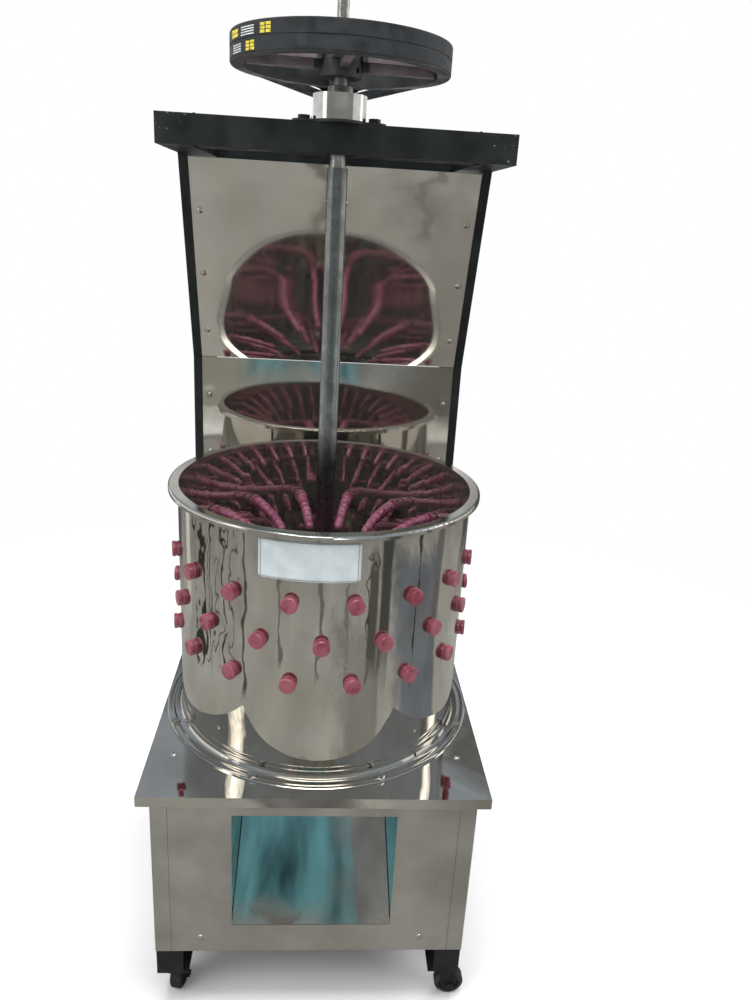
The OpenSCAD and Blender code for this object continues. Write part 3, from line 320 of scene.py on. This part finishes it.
def cast_paint(name, dark, light, rough, pale_web=False):
    """Painted casting: soft lumps under the paint and patches of dust.

    A pulley may take a paler pinkish grey between the hub and the rim.
    """
    f = Finish(name)
    dust = f.noise(30, 6)
    colour = f.blend(f.spread(dust, 0, 1), dark, light)
    if pale_web:
        distance = f.axis_distance()
        web = f.math("MULTIPLY", f.math("GREATER_THAN", distance, WEB_FROM),
                     f.math("LESS_THAN", distance, WEB_TO))
        # A paler pinkish grey for the pulley between its hub and its rim
        pale_part = f.blend(f.spread(dust, 0, 1), srgb(80, 70, 72), srgb(108, 97, 100))
        colour = f.blend(web, colour, pale_part)
    f.set("Base Color", colour)
    f.set("Roughness", f.spread(dust, rough[0], rough[1]))
    f.bump(f.noise(260, 4), 0.0003)
    return f.material


def bare_metal(name, clean, dull, rough, lines):
    """Turned or drawn bare metal with tool lines and a few dull patches."""
    f = Finish(name, metallic=1.0)
    patch = f.noise(38, 5)
    f.set("Base Color", f.blend(f.spread(patch, 0, 1), clean, dull))
    tool = f.noise(1, 2, lines)
    f.set("Roughness", f.math("ADD", f.spread(patch, rough[0], rough[1]),
                              f.spread(tool, -0.04, 0.04)))
    f.bump(tool, 0.00003)
    return f.material


def moulded(name, dark, light, rough, grain):
    """Moulded plastic or tyre rubber with a fine grain and scuffs."""
    f = Finish(name)
    scuff = f.noise(70, 5)
    f.set("Base Color", f.blend(f.spread(scuff, 0, 1, 0.45, 0.75), dark, light))
    f.set("Roughness", f.spread(scuff, rough[0], rough[1]))
    f.bump(f.noise(grain, 2), 0.00012)
    return f.material


def housing_alloy():
    """Bright turned housing whose flange was painted over with the beam."""
    f = Finish("housing_alloy")
    patch = f.noise(38, 5)
    pale_part = f.math("GREATER_THAN", f.axis("Z"), FLANGE_TOP)
    metal = f.blend(f.spread(patch, 0, 1), srgb(205, 206, 204), srgb(176, 176, 172))
    f.set("Base Color", f.blend(pale_part, srgb(24, 26, 27), metal))
    f.set("Metallic", pale_part)
    painted_rough = f.spread(patch, 0.48, 0.56)
    f.set("Roughness", f.math("SUBTRACT", painted_rough, f.math("MULTIPLY", pale_part, 0.40)))
    f.bump(f.noise(1, 2, TURNED), 0.00003)
    return f.material


finishes = {
    "satin_steel": satin_sheet(),
    "black_paint": black_paint("black_paint"),
    "caster_steel": black_paint("caster_steel", worn=False),
    "finger_rubber": finger_rubber(),
    "belt_rubber": belt_rubber(),
    "pulley_iron": cast_paint("pulley_iron", srgb(26, 28, 29), srgb(46, 48, 48), (0.4, 0.6),
                              pale_web=True),
    "motor_paint": cast_paint("motor_paint", srgb(62, 84, 96), srgb(84, 106, 117), (0.35, 0.55)),
    "black_plastic": moulded("black_plastic", srgb(24, 25, 26), srgb(46, 47, 48), (0.45, 0.65),
                             1500),
    "wheel_rubber": moulded("wheel_rubber", srgb(22, 23, 24), srgb(50, 50, 49), (0.55, 0.8), 900),
}
for name, clean, dull, rough, lines in (
        ("cast_alloy", (205, 206, 204), (168, 168, 164), (0.14, 0.3), TURNED),
        ("tube_steel", (134, 137, 136), (110, 112, 111), (0.2, 0.34), UPRIGHT),
        ("shaft_steel", (190, 188, 184), (150, 147, 142), (0.16, 0.32), TURNED),
        ("plate_steel", (186, 184, 178), (150, 147, 140), (0.2, 0.36), ACROSS),
        ("zinc_bolts", (205, 204, 198), (164, 160, 150), (0.16, 0.36), TURNED),
        ("dark_bolts", (72, 73, 74), (50, 50, 51), (0.35, 0.5), TURNED),
        ("lamination", (118, 112, 106), (88, 82, 76), (0.4, 0.6), TURNED)):
    finishes[name] = bare_metal(name, srgb(*clean), srgb(*dull), rough, lines)


def solid_middles(obj, reach=0.02):
    """The middle of each small solid of a node, whose points lie closer together than reach."""
    groups = []
    for vertex in obj.data.vertices:
        near = next((g for g in groups if (g[0] - vertex.co).length < reach), None)
        if near:
            near.append(vertex.co)
        else:
            groups.append([vertex.co])
    return [sum(g, Vector()) / len(g) for g in groups]


panel_screws = solid_middles(nodes["panel_screws"])
own_finishes = {
    "drum_shell": polished_sheet("drum_steel", UPRIGHT, rim=RIM_LOW, film=0.06),
    "drum_base_ring": polished_sheet("ring_steel", TURNED, spun=0.0005),
    "deck_plate": polished_sheet("deck_steel", ACROSS, wave=0.008, rough=(0.02, 0.06)),
    "feather_chute": polished_sheet("chute_steel", UPRIGHT),
    "lower_back_panel": polished_sheet("lower_mirror", UPRIGHT, wave=0.002, rough=(0.03, 0.06),
                                       screws=panel_screws, film=0.03),
    "upper_back_panel": polished_sheet("upper_mirror", UPRIGHT, wave=0.0014, rough=(0.035, 0.07),
                                       screws=panel_screws, flare=0.006, film=0.045),
    "bearing_housing": housing_alloy(),
}
slot_of = {p["node"]: p["material_slot"] for p in frame["record"]["subparts"]}
for name, obj in nodes.items():
    obj.data.materials.clear()
    obj.data.materials.append(own_finishes.get(name) or finishes[slot_of[name]])


def link_new(name, data):
    """A new object in the scene."""
    obj = bpy.data.objects.new(name, data)
    bpy.context.scene.collection.objects.link(obj)
    return obj


def mesh_object(name, bm, material):
    """A new object with a finished bmesh."""
    mesh = bpy.data.meshes.new(name)
    bm.to_mesh(mesh)
    bm.free()
    mesh.materials.append(material)
    return link_new(name, mesh)


def new_piece(name, bm, material, body):
    """Makes a finished bmesh a piece that rides on a CAD body."""
    obj = mesh_object(name, bm, material)
    for face in obj.data.polygons:
        face.use_smooth = True
    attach(obj, body)


def on_drum(radius, degrees, z):
    """A point round the drum axis; zero degrees faces the operator and positive goes right."""
    a = math.radians(degrees)
    return Vector((radius * math.sin(a), DRUM_Y - radius * math.cos(a), z))


def wrapped_plate(bm, radius, thick, start, end, low, high, corner=0.0, steps=24, rows=12):
    """A thin plate that follows a drum-axis cylinder, with rounded corners of the given size."""
    half_z = (high - low) / 2
    width = math.radians(end - start) * radius
    grid = []
    for i in range(steps + 1):
        degrees = start + (end - start) * i / steps
        along = width * i / steps
        edge = min(along, width - along)
        cut = 0.0
        if edge < corner:
            cut = corner - math.sqrt(max(corner ** 2 - (corner - edge) ** 2, 0))
        column = []
        for j in range(rows + 1):
            z = (low + high) / 2 + (2 * j / rows - 1) * (half_z - cut)
            column.append([bm.verts.new(on_drum(radius + t, degrees, z)) for t in (0.0, thick)])
        grid.append(column)
    for i in range(steps):
        for j in range(rows):
            a, b, c, d = grid[i][j], grid[i + 1][j], grid[i + 1][j + 1], grid[i][j + 1]
            bm.faces.new((a[1], b[1], c[1], d[1]))
            bm.faces.new((d[0], c[0], b[0], a[0]))
            if j == 0:
                bm.faces.new((a[0], b[0], b[1], a[1]))
            if j == rows - 1:
                bm.faces.new((c[0], d[0], d[1], c[1]))
            if i == 0:
                bm.faces.new((d[0], a[0], a[1], d[1]))
            if i == steps - 1:
                bm.faces.new((b[0], c[0], c[1], b[1]))


def label_paper():
    """Pale glossy label stock, a little smudged."""
    f = Finish("label_paper", coat_weight=0.4, coat_roughness=0.15)
    smudge = f.noise(40, 5)
    f.set("Base Color", f.blend(f.spread(smudge, 0, 1), srgb(198, 206, 209), srgb(182, 191, 194)))
    f.set("Roughness", f.spread(smudge, 0.3, 0.5))
    f.bump(f.noise(30, 2), 0.0003)
    return f.material


def ink(name, colour, worn):
    """Printed ink that has rubbed off a little."""
    f = Finish(name)
    rub = f.noise(420, 4)
    f.set("Base Color", f.blend(f.spread(rub, 0, 1, 0.5, 0.7), colour, worn))
    f.set("Roughness", f.spread(rub, 0.4, 0.65))
    return f.material


# The label's place and its border line: degrees round the drum, then heights
LABEL = (-23.0, 12.5, 0.8135, 0.8775)
LABEL_LIFT, LABEL_THICK, LABEL_CORNER = 0.0002, 0.0004, 0.003
LINE_START, LINE_END, LINE_LOW, LINE_HIGH = -22.2, 11.7, 0.8150, 0.8760
LINE_TALL, LINE_DEGREES = 0.0008, 0.2
LINE_THICK = 0.0001

label = bmesh.new()
wrapped_plate(label, WALL_R + LABEL_LIFT, LABEL_THICK, *LABEL, corner=LABEL_CORNER)
new_piece("label_plate", label, label_paper(), "machine")

border = bmesh.new()
for edges in ((LINE_START, LINE_END, LINE_LOW, LINE_LOW + LINE_TALL),
              (LINE_START, LINE_END, LINE_HIGH - LINE_TALL, LINE_HIGH),
              (LINE_START, LINE_START + LINE_DEGREES, LINE_LOW, LINE_HIGH),
              (LINE_END - LINE_DEGREES, LINE_END, LINE_LOW, LINE_HIGH)):
    wrapped_plate(border, WALL_R + LABEL_LIFT + LABEL_THICK, LINE_THICK, *edges)
new_piece("label_border", border, ink("border_ink", srgb(70, 84, 82), srgb(110, 122, 120)),
          "machine")

PRINT_LIFT, PRINT_THICK = 0.0001, 0.0002


def belt_print(name, material, belt_z, blocks):
    """Plain printed bars on the back of a belt.

    Each block has its start and end in degrees, its height, how many level bars fill it, and the
    share of a bar's step that is inked.
    """
    bm = bmesh.new()
    for start, end, height, count, fill in blocks:
        step = height / count
        low = belt_z - height / 2
        for i in range(count):
            wrapped_plate(bm, BELT_R + PRINT_LIFT, PRINT_THICK, start, end,
                          low + i * step, low + (i + fill) * step, steps=4)
    new_piece(name, bm, material, "machine")


yellow = ink("yellow_ink", srgb(206, 190, 62), srgb(120, 112, 50))
white = ink("white_ink", srgb(196, 200, 196), srgb(116, 120, 118))
belt_print("upper_yellow_print", yellow, UPPER_BELT_Z, (
    (-42.6, -39.5, 0.0135, 3, 0.8), (-38.9, -35.8, 0.0135, 3, 0.8), (-71.0, -61.5, 0.011, 2, 0.8)))
belt_print("upper_white_print", white, UPPER_BELT_Z, ((-58.3, -46.8, 0.0125, 4, 0.5),))
belt_print("lower_yellow_print", yellow, LOWER_BELT_Z, (
    (-53.6, -50.4, 0.0125, 3, 0.8), (-49.8, -46.6, 0.0125, 3, 0.8)))
belt_print("lower_white_print", white, LOWER_BELT_Z, ((-68.5, -58.3, 0.012, 4, 0.5),))


def add_block(bm, low, high):
    """A box between two corners."""
    size = [b - a for a, b in zip(low, high)]
    middle = [(a + b) / 2 for a, b in zip(low, high)]
    bmesh.ops.create_cube(bm, size=1.0,
                          matrix=Matrix.Translation(middle) @ Matrix.Diagonal(size + [1.0]))


def add_stud(bm, place, facing, radius, height, sides=6):
    """A short bolt head or rivet, a little tapered, that stands on a point and faces outwards."""
    turn = Vector(facing).to_track_quat("Z", "Y").to_matrix().to_4x4()
    shift = Matrix.Translation(Vector(place) + Vector(facing).normalized() * height / 2)
    bmesh.ops.create_cone(bm, cap_ends=True, segments=sides, radius1=radius,
                          radius2=0.88 * radius, depth=height, matrix=shift @ turn)


RIPPLE_STEP = 0.0011                # a weld bead has a ring of points each step


def add_weld(bm, start, end, radius=0.0026, sides=8):
    """A bead from one point to another, with a ripple every three rings and drawn-in ends."""
    start, end = Vector(start), Vector(end)
    along = end - start
    rings = max(6, int(along.length / RIPPLE_STEP))
    turn = along.to_track_quat("Z", "Y")
    previous = None
    for i in range(rings + 1):
        swell = radius * (0.84 + 0.16 * math.cos(2 * math.pi * i / 3.0))
        if i in (0, rings):
            swell *= 0.55
        ring = []
        for k in range(sides):
            a = 2 * math.pi * k / sides
            out = turn @ Vector((swell * math.cos(a), swell * math.sin(a), 0))
            ring.append(bm.verts.new(start + along * i / rings + out))
        if previous:
            for k in range(sides):
                n = (k + 1) % sides
                bm.faces.new((previous[k], previous[n], ring[n], ring[k]))
        else:
            bm.faces.new(list(reversed(ring)))
        previous = ring
    bm.faces.new(previous)


welds = bmesh.new()
for side in (-1, 1):
    post, arm = side * POST_IN, side * ARM_IN
    for low in TIE_LOWS:
        add_weld(welds, (post, TIE_BACK, low), (post, TIE_BACK, low + TIE_WELD))
    for low in BRACKET_LOWS:
        add_weld(welds, (post, BRACKET_BACK, low), (post, BRACKET_BACK, low + BRACKET_WELD))
    for y in POST_EDGES_Y:
        add_weld(welds, (post, y, ARM_LOW), (side * POST_OUT, y, ARM_LOW))
    for z in (ARM_LOW, ARM_TOP):
        add_weld(welds, (arm, BEAM_FRONT, z), (arm, BEAM_BACK, z), radius=0.0018)
    add_weld(welds, (arm, BEAM_BACK, ARM_LOW), (arm, BEAM_BACK, ARM_TOP))
new_piece("frame_welds", welds, finishes["black_paint"], "machine")

studs = bmesh.new()
for k in range(4):
    a = math.radians(45 + 90 * k)
    out = Vector((math.cos(a), math.sin(a), 0))
    on_flange = Vector((0, MOTOR_Y, MOTOR_FLANGE_Z)) + FLANGE_STUD_R * out
    add_stud(studs, on_flange, (0, 0, 1), 0.0062, 0.0045)
    on_cowl = Vector((0, MOTOR_Y, COWL_STUD_Z)) + COWL_R * out
    add_stud(studs, on_cowl, out, 0.0045, 0.0022, sides=16)
for y in (MOTOR_Y - LID_STUD_Y, MOTOR_Y + LID_STUD_Y):
    for z in LID_STUDS_Z:
        add_stud(studs, (BOX_OUT + LID_THICK, y, z), (1, 0, 0), 0.0042, 0.0024, sides=16)
new_piece("motor_studs", studs, finishes["zinc_bolts"], "machine")

lid = bmesh.new()
add_block(lid, (BOX_OUT, MOTOR_Y - LID_HALF, LID_LOW),
          (BOX_OUT + LID_THICK, MOTOR_Y + LID_HALF, LID_HIGH))
bmesh.ops.bevel(lid, geom=lid.edges[:], offset=0.001, segments=2, affect="EDGES")
new_piece("terminal_lid", lid, finishes["motor_paint"], "machine")


def seen_ray(tree):
    """One for rays that look at the backdrop: from the camera, off metal or through glass."""
    path = tree.nodes.new("ShaderNodeLightPath")
    total = path.outputs["Is Camera Ray"]
    for name in ("Is Glossy Ray", "Is Transmission Ray"):
        node = tree.nodes.new("ShaderNodeMath")
        node.operation = "MAXIMUM"
        tree.links.new(total, node.inputs[0])
        tree.links.new(path.outputs[name], node.inputs[1])
        total = node.outputs["Value"]
    return total


SKY_LIGHT = 0.5
FLOOR_REACH = 14
FLOOR_FADE = (0.7, 2.2)             # distances from shadow to plain white
FLOOR_PALE = (0.80, 0.80, 0.80, 1)
FLOOR_DARK = (0.78, 0.78, 0.78, 1)


def make_world():
    """White to look at; a soft grey sky as a light."""
    world = bpy.data.worlds.new("studio")
    bpy.context.scene.world = world
    world.use_nodes = True
    tree = world.node_tree
    background = tree.nodes["Background"]
    level = tree.nodes.new("ShaderNodeMapRange")
    level.inputs["To Min"].default_value = SKY_LIGHT
    level.inputs["To Max"].default_value = 1.0
    tree.links.new(seen_ray(tree), level.inputs["Value"])
    tree.links.new(level.outputs["Result"], background.inputs["Strength"])
    background.inputs["Color"].default_value = (1, 1, 1, 1)


def make_floor():
    """Pale floor that keeps the shadow near the machine and fades into the white backdrop."""
    f = Finish("floor_paper", roughness=0.9, specular_ior_level=0.2)
    f.set("Base Color", f.blend(f.spread(f.noise(3, 3), 0, 1), FLOOR_PALE, FLOOR_DARK))
    far = f.spread(f.length(f.coords), 0, 1, *FLOOR_FADE)
    glow = f.add("ShaderNodeEmission", Color=(1, 1, 1, 1), Strength=1.0)
    f.mix_surface(f.math("MULTIPLY", far, seen_ray(f.tree)),
                  f.shader.outputs["BSDF"], glow.outputs["Emission"])
    bm = bmesh.new()
    bmesh.ops.create_grid(bm, x_segments=8, y_segments=8, size=FLOOR_REACH)
    floor = mesh_object("floor", bm, f.material)
    floor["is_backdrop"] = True


BRIGHTEST = 4.0                     # most that a card's mottling may reach
MEANDER = (4, 4, 8)                 # a meandering strip's bends a metre


def card_paper(name, colour, glow, contrast=1.12, fade=0.0, folds=(2, 2, 2), band=1.0):
    """Studio card, mottled up to contrast: glow is its own light, fade the share its edges take.

    Folds are the mottling's features a metre along each axis. A band below one is the share of the
    card's width that a meandering strip fills; the rest is clear.
    """
    f = Finish(name, roughness=1.0, specular_ior_level=0.0)
    pale = tuple(min(BRIGHTEST, contrast * c) for c in colour) + (1.0,)
    tint = f.blend(f.spread(f.noise(1, 3, folds), 0, 1), colour + (1.0,), pale)
    f.set("Base Color", tint)
    f.set("Emission Color", tint)
    f.set("Emission Strength", glow)
    if fade:
        uv = f.add("ShaderNodeTexCoord").outputs["UV"]
        place = f.add("ShaderNodeSeparateXYZ", Vector=uv).outputs
        room = (1 - band) / 2
        across = f.math("ADD", place["X"], f.spread(f.noise(1, 2, MEANDER), -room, room))
        off_middle = f.math("ABSOLUTE", f.math("SUBTRACT", across, 0.5))
        to_side = f.math("SUBTRACT", band / 2, off_middle)
        to_end = f.math("MINIMUM", place["Y"], f.math("SUBTRACT", 1.0, place["Y"]))
        edge = f.math("MINIMUM", to_side, to_end)
        ragged = f.math("ADD", edge, f.spread(f.noise(9, 3), -0.4 * fade, 0.0))
        clear = f.tree.nodes.new("ShaderNodeBsdfTransparent")
        f.mix_surface(f.spread(ragged, 0, 1, 0.0, fade),
                      clear.outputs["BSDF"], f.shader.outputs["BSDF"])
    return f.material


def studio_card(name, corners, material):
    """A card that only polished metal sees: it gives mirrors something to show."""
    mesh = bpy.data.meshes.new(name)
    mesh.from_pydata(corners, [], [(0, 1, 2, 3)])
    mesh.materials.append(material)
    for loop, place in zip(mesh.uv_layers.new().data, ((0, 0), (1, 0), (1, 1), (0, 1))):
        loop.uv = place
    card = link_new(name, mesh)
    card.visible_camera = False
    card.visible_diffuse = False
    card.visible_transmission = False
    card.visible_volume_scatter = False
    card.visible_shadow = False
    card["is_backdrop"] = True


def level_corners(left, right, front, back, z):
    return [(left, front, z), (right, front, z), (right, back, z), (left, back, z)]


def flag(name, degrees, distance, width, low, high, material):
    """An upright card that faces the drum from a direction."""
    a = math.radians(degrees)
    middle = on_drum(distance, degrees, low)
    along = Vector((math.cos(a), math.sin(a), 0)) * width / 2
    rise = Vector((0, 0, high - low))
    left, right = middle - along, middle + along
    studio_card(name, [left, right, right + rise, left + rise], material)


ROOM_REACH, ROOM_HIGH, ROOM_FRONT = 7, 3.5, -4.5
MAT_REACH = 3
# Cards on the floor lie in three layers
MAT_Z, SHADE_Z, TOP_MAT_Z = 0.001, 0.0015, 0.002


def room_cards():
    """A dim room round the machine: ceiling, mats on the floor and the wall behind the operator."""
    reach = ROOM_REACH
    studio_card("ceiling_card", [(-reach, -reach, ROOM_HIGH), (-reach, reach, ROOM_HIGH),
                                 (reach, reach, ROOM_HIGH), (reach, -reach, ROOM_HIGH)],
                card_paper("ceiling_card", (0.22, 0.25, 0.29), 1.0))
    studio_card("mat_card", level_corners(-MAT_REACH, MAT_REACH, -MAT_REACH, MAT_REACH, MAT_Z),
                card_paper("mat_card", (0.232, 0.233, 0.221), 0.0, contrast=1.3))
    studio_card("blue_mat", [on_drum(0.42, 52, TOP_MAT_Z), on_drum(2.6, 48, TOP_MAT_Z),
                             on_drum(2.6, 100, TOP_MAT_Z), on_drum(0.42, 100, TOP_MAT_Z)],
                card_paper("blue_mat", (0.095, 0.105, 0.122), 0.0, contrast=1.4, fade=0.12))
    studio_card("wall_card", [(-reach, ROOM_FRONT, 0), (reach, ROOM_FRONT, 0),
                              (reach, ROOM_FRONT, ROOM_HIGH), (-reach, ROOM_FRONT, ROOM_HIGH)],
                card_paper("wall_card", (0.20, 0.20, 0.19), 1.0))
    studio_card("shade_mat", [on_drum(0.40, 6, SHADE_Z), on_drum(1.9, 6, SHADE_Z),
                              on_drum(1.9, 44, SHADE_Z), on_drum(0.40, 44, SHADE_Z)],
                card_paper("shade_mat", (0.15, 0.148, 0.14), 0.0, contrast=1.3, fade=0.2))
    studio_card("lip_card", level_corners(-0.22, 0.16, -0.98, -0.84, TOP_MAT_Z),
                card_paper("lip_card", (0.07, 0.07, 0.07), 0.0, contrast=2.0, fade=0.25,
                           folds=(9, 9, 9)))


# Folded cloth for the slide and shades for the mirror panels:
# name, degrees, distance, width, low, high, colour, glow, contrast, folds
FRONT_CARDS = (
    ("apron_card", -4, 1.45, 0.62, 0.6, 1.24, (0.010, 0.026, 0.031), 0.8, 7.0, (9, 9, 2)),
    ("sleeve_card", 9, 1.47, 0.5, 0.6, 1.24, (0.05, 0.053, 0.055), 0.8, 2.5, (5, 5, 3)),
    ("left_shade", -16, 1.60, 0.5, 0.4, 1.0, (0.13, 0.13, 0.11), 1.0, 1.3, (2, 2, 2)),
    ("right_shade", 17, 1.60, 0.5, 0.4, 1.0, (0.06, 0.06, 0.055), 1.0, 1.5, (2, 2, 2)),
)
# Dark areas that the drum mirrors: degrees, distance, width, height, grey, band
FLAGS = (
    (-152, 1.30, 0.95, 1.4, 0.04, 1.0),
    (-119, 1.20, 0.20, 1.3, 0.40, 1.0),
    (-56, 1.10, 0.14, 0.6, 0.06, 0.4),
    (-30, 1.30, 0.24, 0.52, 0.10, 0.36),
    (-3, 1.25, 0.24, 0.66, 0.09, 0.4),
    (17, 1.30, 0.16, 0.45, 0.10, 0.36),
    (35, 1.20, 0.16, 0.5, 0.05, 1.0),
    (44, 1.15, 0.24, 0.9, 0.04, 1.0),
    (70, 1.10, 0.16, 0.9, 0.03, 0.4),
    (93, 1.20, 0.26, 1.3, 0.08, 1.0),
    (142, 1.30, 0.95, 1.75, 0.05, 1.0),
)
# Thin black curls that the drum mirrors: degrees, width, height, band
LEADS = (
    (-104, 0.30, 0.50, 0.22),
    (-97, 0.30, 0.50, 0.30),
    (-90, 0.26, 0.48, 0.16),
    (-84, 0.30, 0.52, 0.22),
    (-77, 0.26, 0.46, 0.14),
    (-71, 0.30, 0.50, 0.20),
    (-64, 0.26, 0.44, 0.14),
    (33, 0.26, 0.46, 0.18),
)
LEAD_NEAR, LEAD_STEP = 1.16, 0.01   # each lead stands a little behind the one before


def upright_cards():
    """What stands in front of the polished steel: cloth, shades, dark flags and thin leads."""
    for name, degrees, distance, width, low, high, colour, glow, contrast, folds in FRONT_CARDS:
        paper = card_paper(name, colour, glow, contrast, fade=0.2, folds=folds)
        flag(name, degrees, distance, width, low, high, paper)
    for number, (degrees, distance, width, high, grey, band) in enumerate(FLAGS):
        name = f"flag_{number}"
        fade = 0.2 if band == 1.0 else 0.08
        paper = card_paper(name, (grey, grey, 0.95 * grey), 0.6, 1.3, fade, band=band)
        flag(name, degrees, distance, width, 0.0, high, paper)
    for number, (degrees, width, high, band) in enumerate(LEADS):
        name = f"lead_{number}"
        paper = card_paper(name, (0.02, 0.02, 0.02), 0.6, 1.3, 0.06, band=band)
        flag(name, degrees, LEAD_NEAR + LEAD_STEP * number, width, 0.0, high, paper)


def light_strips():
    """Glowing cards that stand in for the lamps where polished steel mirrors them."""
    strip = card_paper("light_strip", (1.9, 1.9, 1.85), 1.0, contrast=1.1, fade=0.4)
    flag("left_strip", -67, 2.5, 0.95, 1.2, 3.4, strip)
    flag("right_strip", 105, 2.5, 0.75, 1.2, 3.4, strip)
    studio_card("top_strip", level_corners(-0.9, -0.4, -0.9, 0.5, 3.3),
                card_paper("bright_strip", (3.6, 3.6, 3.5), 1.0, contrast=1.1, fade=0.3))
    studio_card("front_strip", [(-1.4, -2.6, 3.2), (1.4, -2.6, 3.2),
                                (1.4, -1.2, 3.3), (-1.4, -1.2, 3.3)],
                card_paper("front_strip", (3.6, 3.6, 3.6), 1.6, contrast=1.1, fade=0.3))


# Name, place, target, size and watts
SOFTBOXES = (
    ("key", (-1.9, -1.7, 2.6), (0, 0, 0.8), (2.0, 2.0), 50),
    ("fill", (2.2, -1.2, 1.9), (0, 0, 0.7), (1.4, 1.8), 22),
    ("top", (0.0, -0.1, 3.1), (0, -0.05, 0.9), (1.8, 1.8), 120),
    ("rear", (2.0, 2.1, 2.4), (0, 0.2, 1.0), (1.6, 1.6), 36),
)


def softbox(name, place, target, size, watts):
    """An area lamp that mirrors do not show: the light strips stand in for it there."""
    lamp = bpy.data.lights.new(name, "AREA")
    lamp.shape = "RECTANGLE"
    lamp.size, lamp.size_y = size
    lamp.energy = watts
    obj = link_new(name, lamp)
    obj.location = place
    obj.rotation_euler = (Vector(target) - Vector(place)).to_track_quat("-Z", "Y").to_euler()
    obj.visible_glossy = False


# The photograph's camera, from a fit to the drum and frame edges: radians, metres and pixels
PITCH, YAW, ROLL = 0.334366, 0.074426, 0.058423
CAMERA_PLACE = (-0.01166, -1.36134 + DRUM_Y, 1.33327)
FOCAL_PIXELS, IMAGE_HEIGHT = 811.96, 1000
SENSOR = 36                         # millimetres along the image's height


def make_camera():
    """Places the camera: it looks along its yaw and down by its pitch, then rolls."""
    ahead = Vector((math.sin(YAW) * math.cos(PITCH), math.cos(YAW) * math.cos(PITCH),
                    -math.sin(PITCH)))
    level = Vector((math.cos(YAW), -math.sin(YAW), 0))
    above = level.cross(ahead)
    right = math.cos(ROLL) * level + math.sin(ROLL) * above
    up = math.cos(ROLL) * above - math.sin(ROLL) * level
    data = bpy.data.cameras.new("photo_camera")
    data.sensor_width = SENSOR
    data.lens = FOCAL_PIXELS / IMAGE_HEIGHT * SENSOR
    data.clip_start, data.clip_end = 0.05, 60
    camera = link_new("photo_camera", data)
    turn = Matrix((right, up, -ahead)).transposed().to_4x4()
    camera.matrix_world = Matrix.Translation(CAMERA_PLACE) @ turn
    bpy.context.scene.camera = camera


make_world()
make_floor()
room_cards()
upright_cards()
light_strips()
for lamp in SOFTBOXES:
    softbox(*lamp)
make_camera()
bpy.context.scene.view_settings.view_transform = "Standard"

low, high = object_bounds()
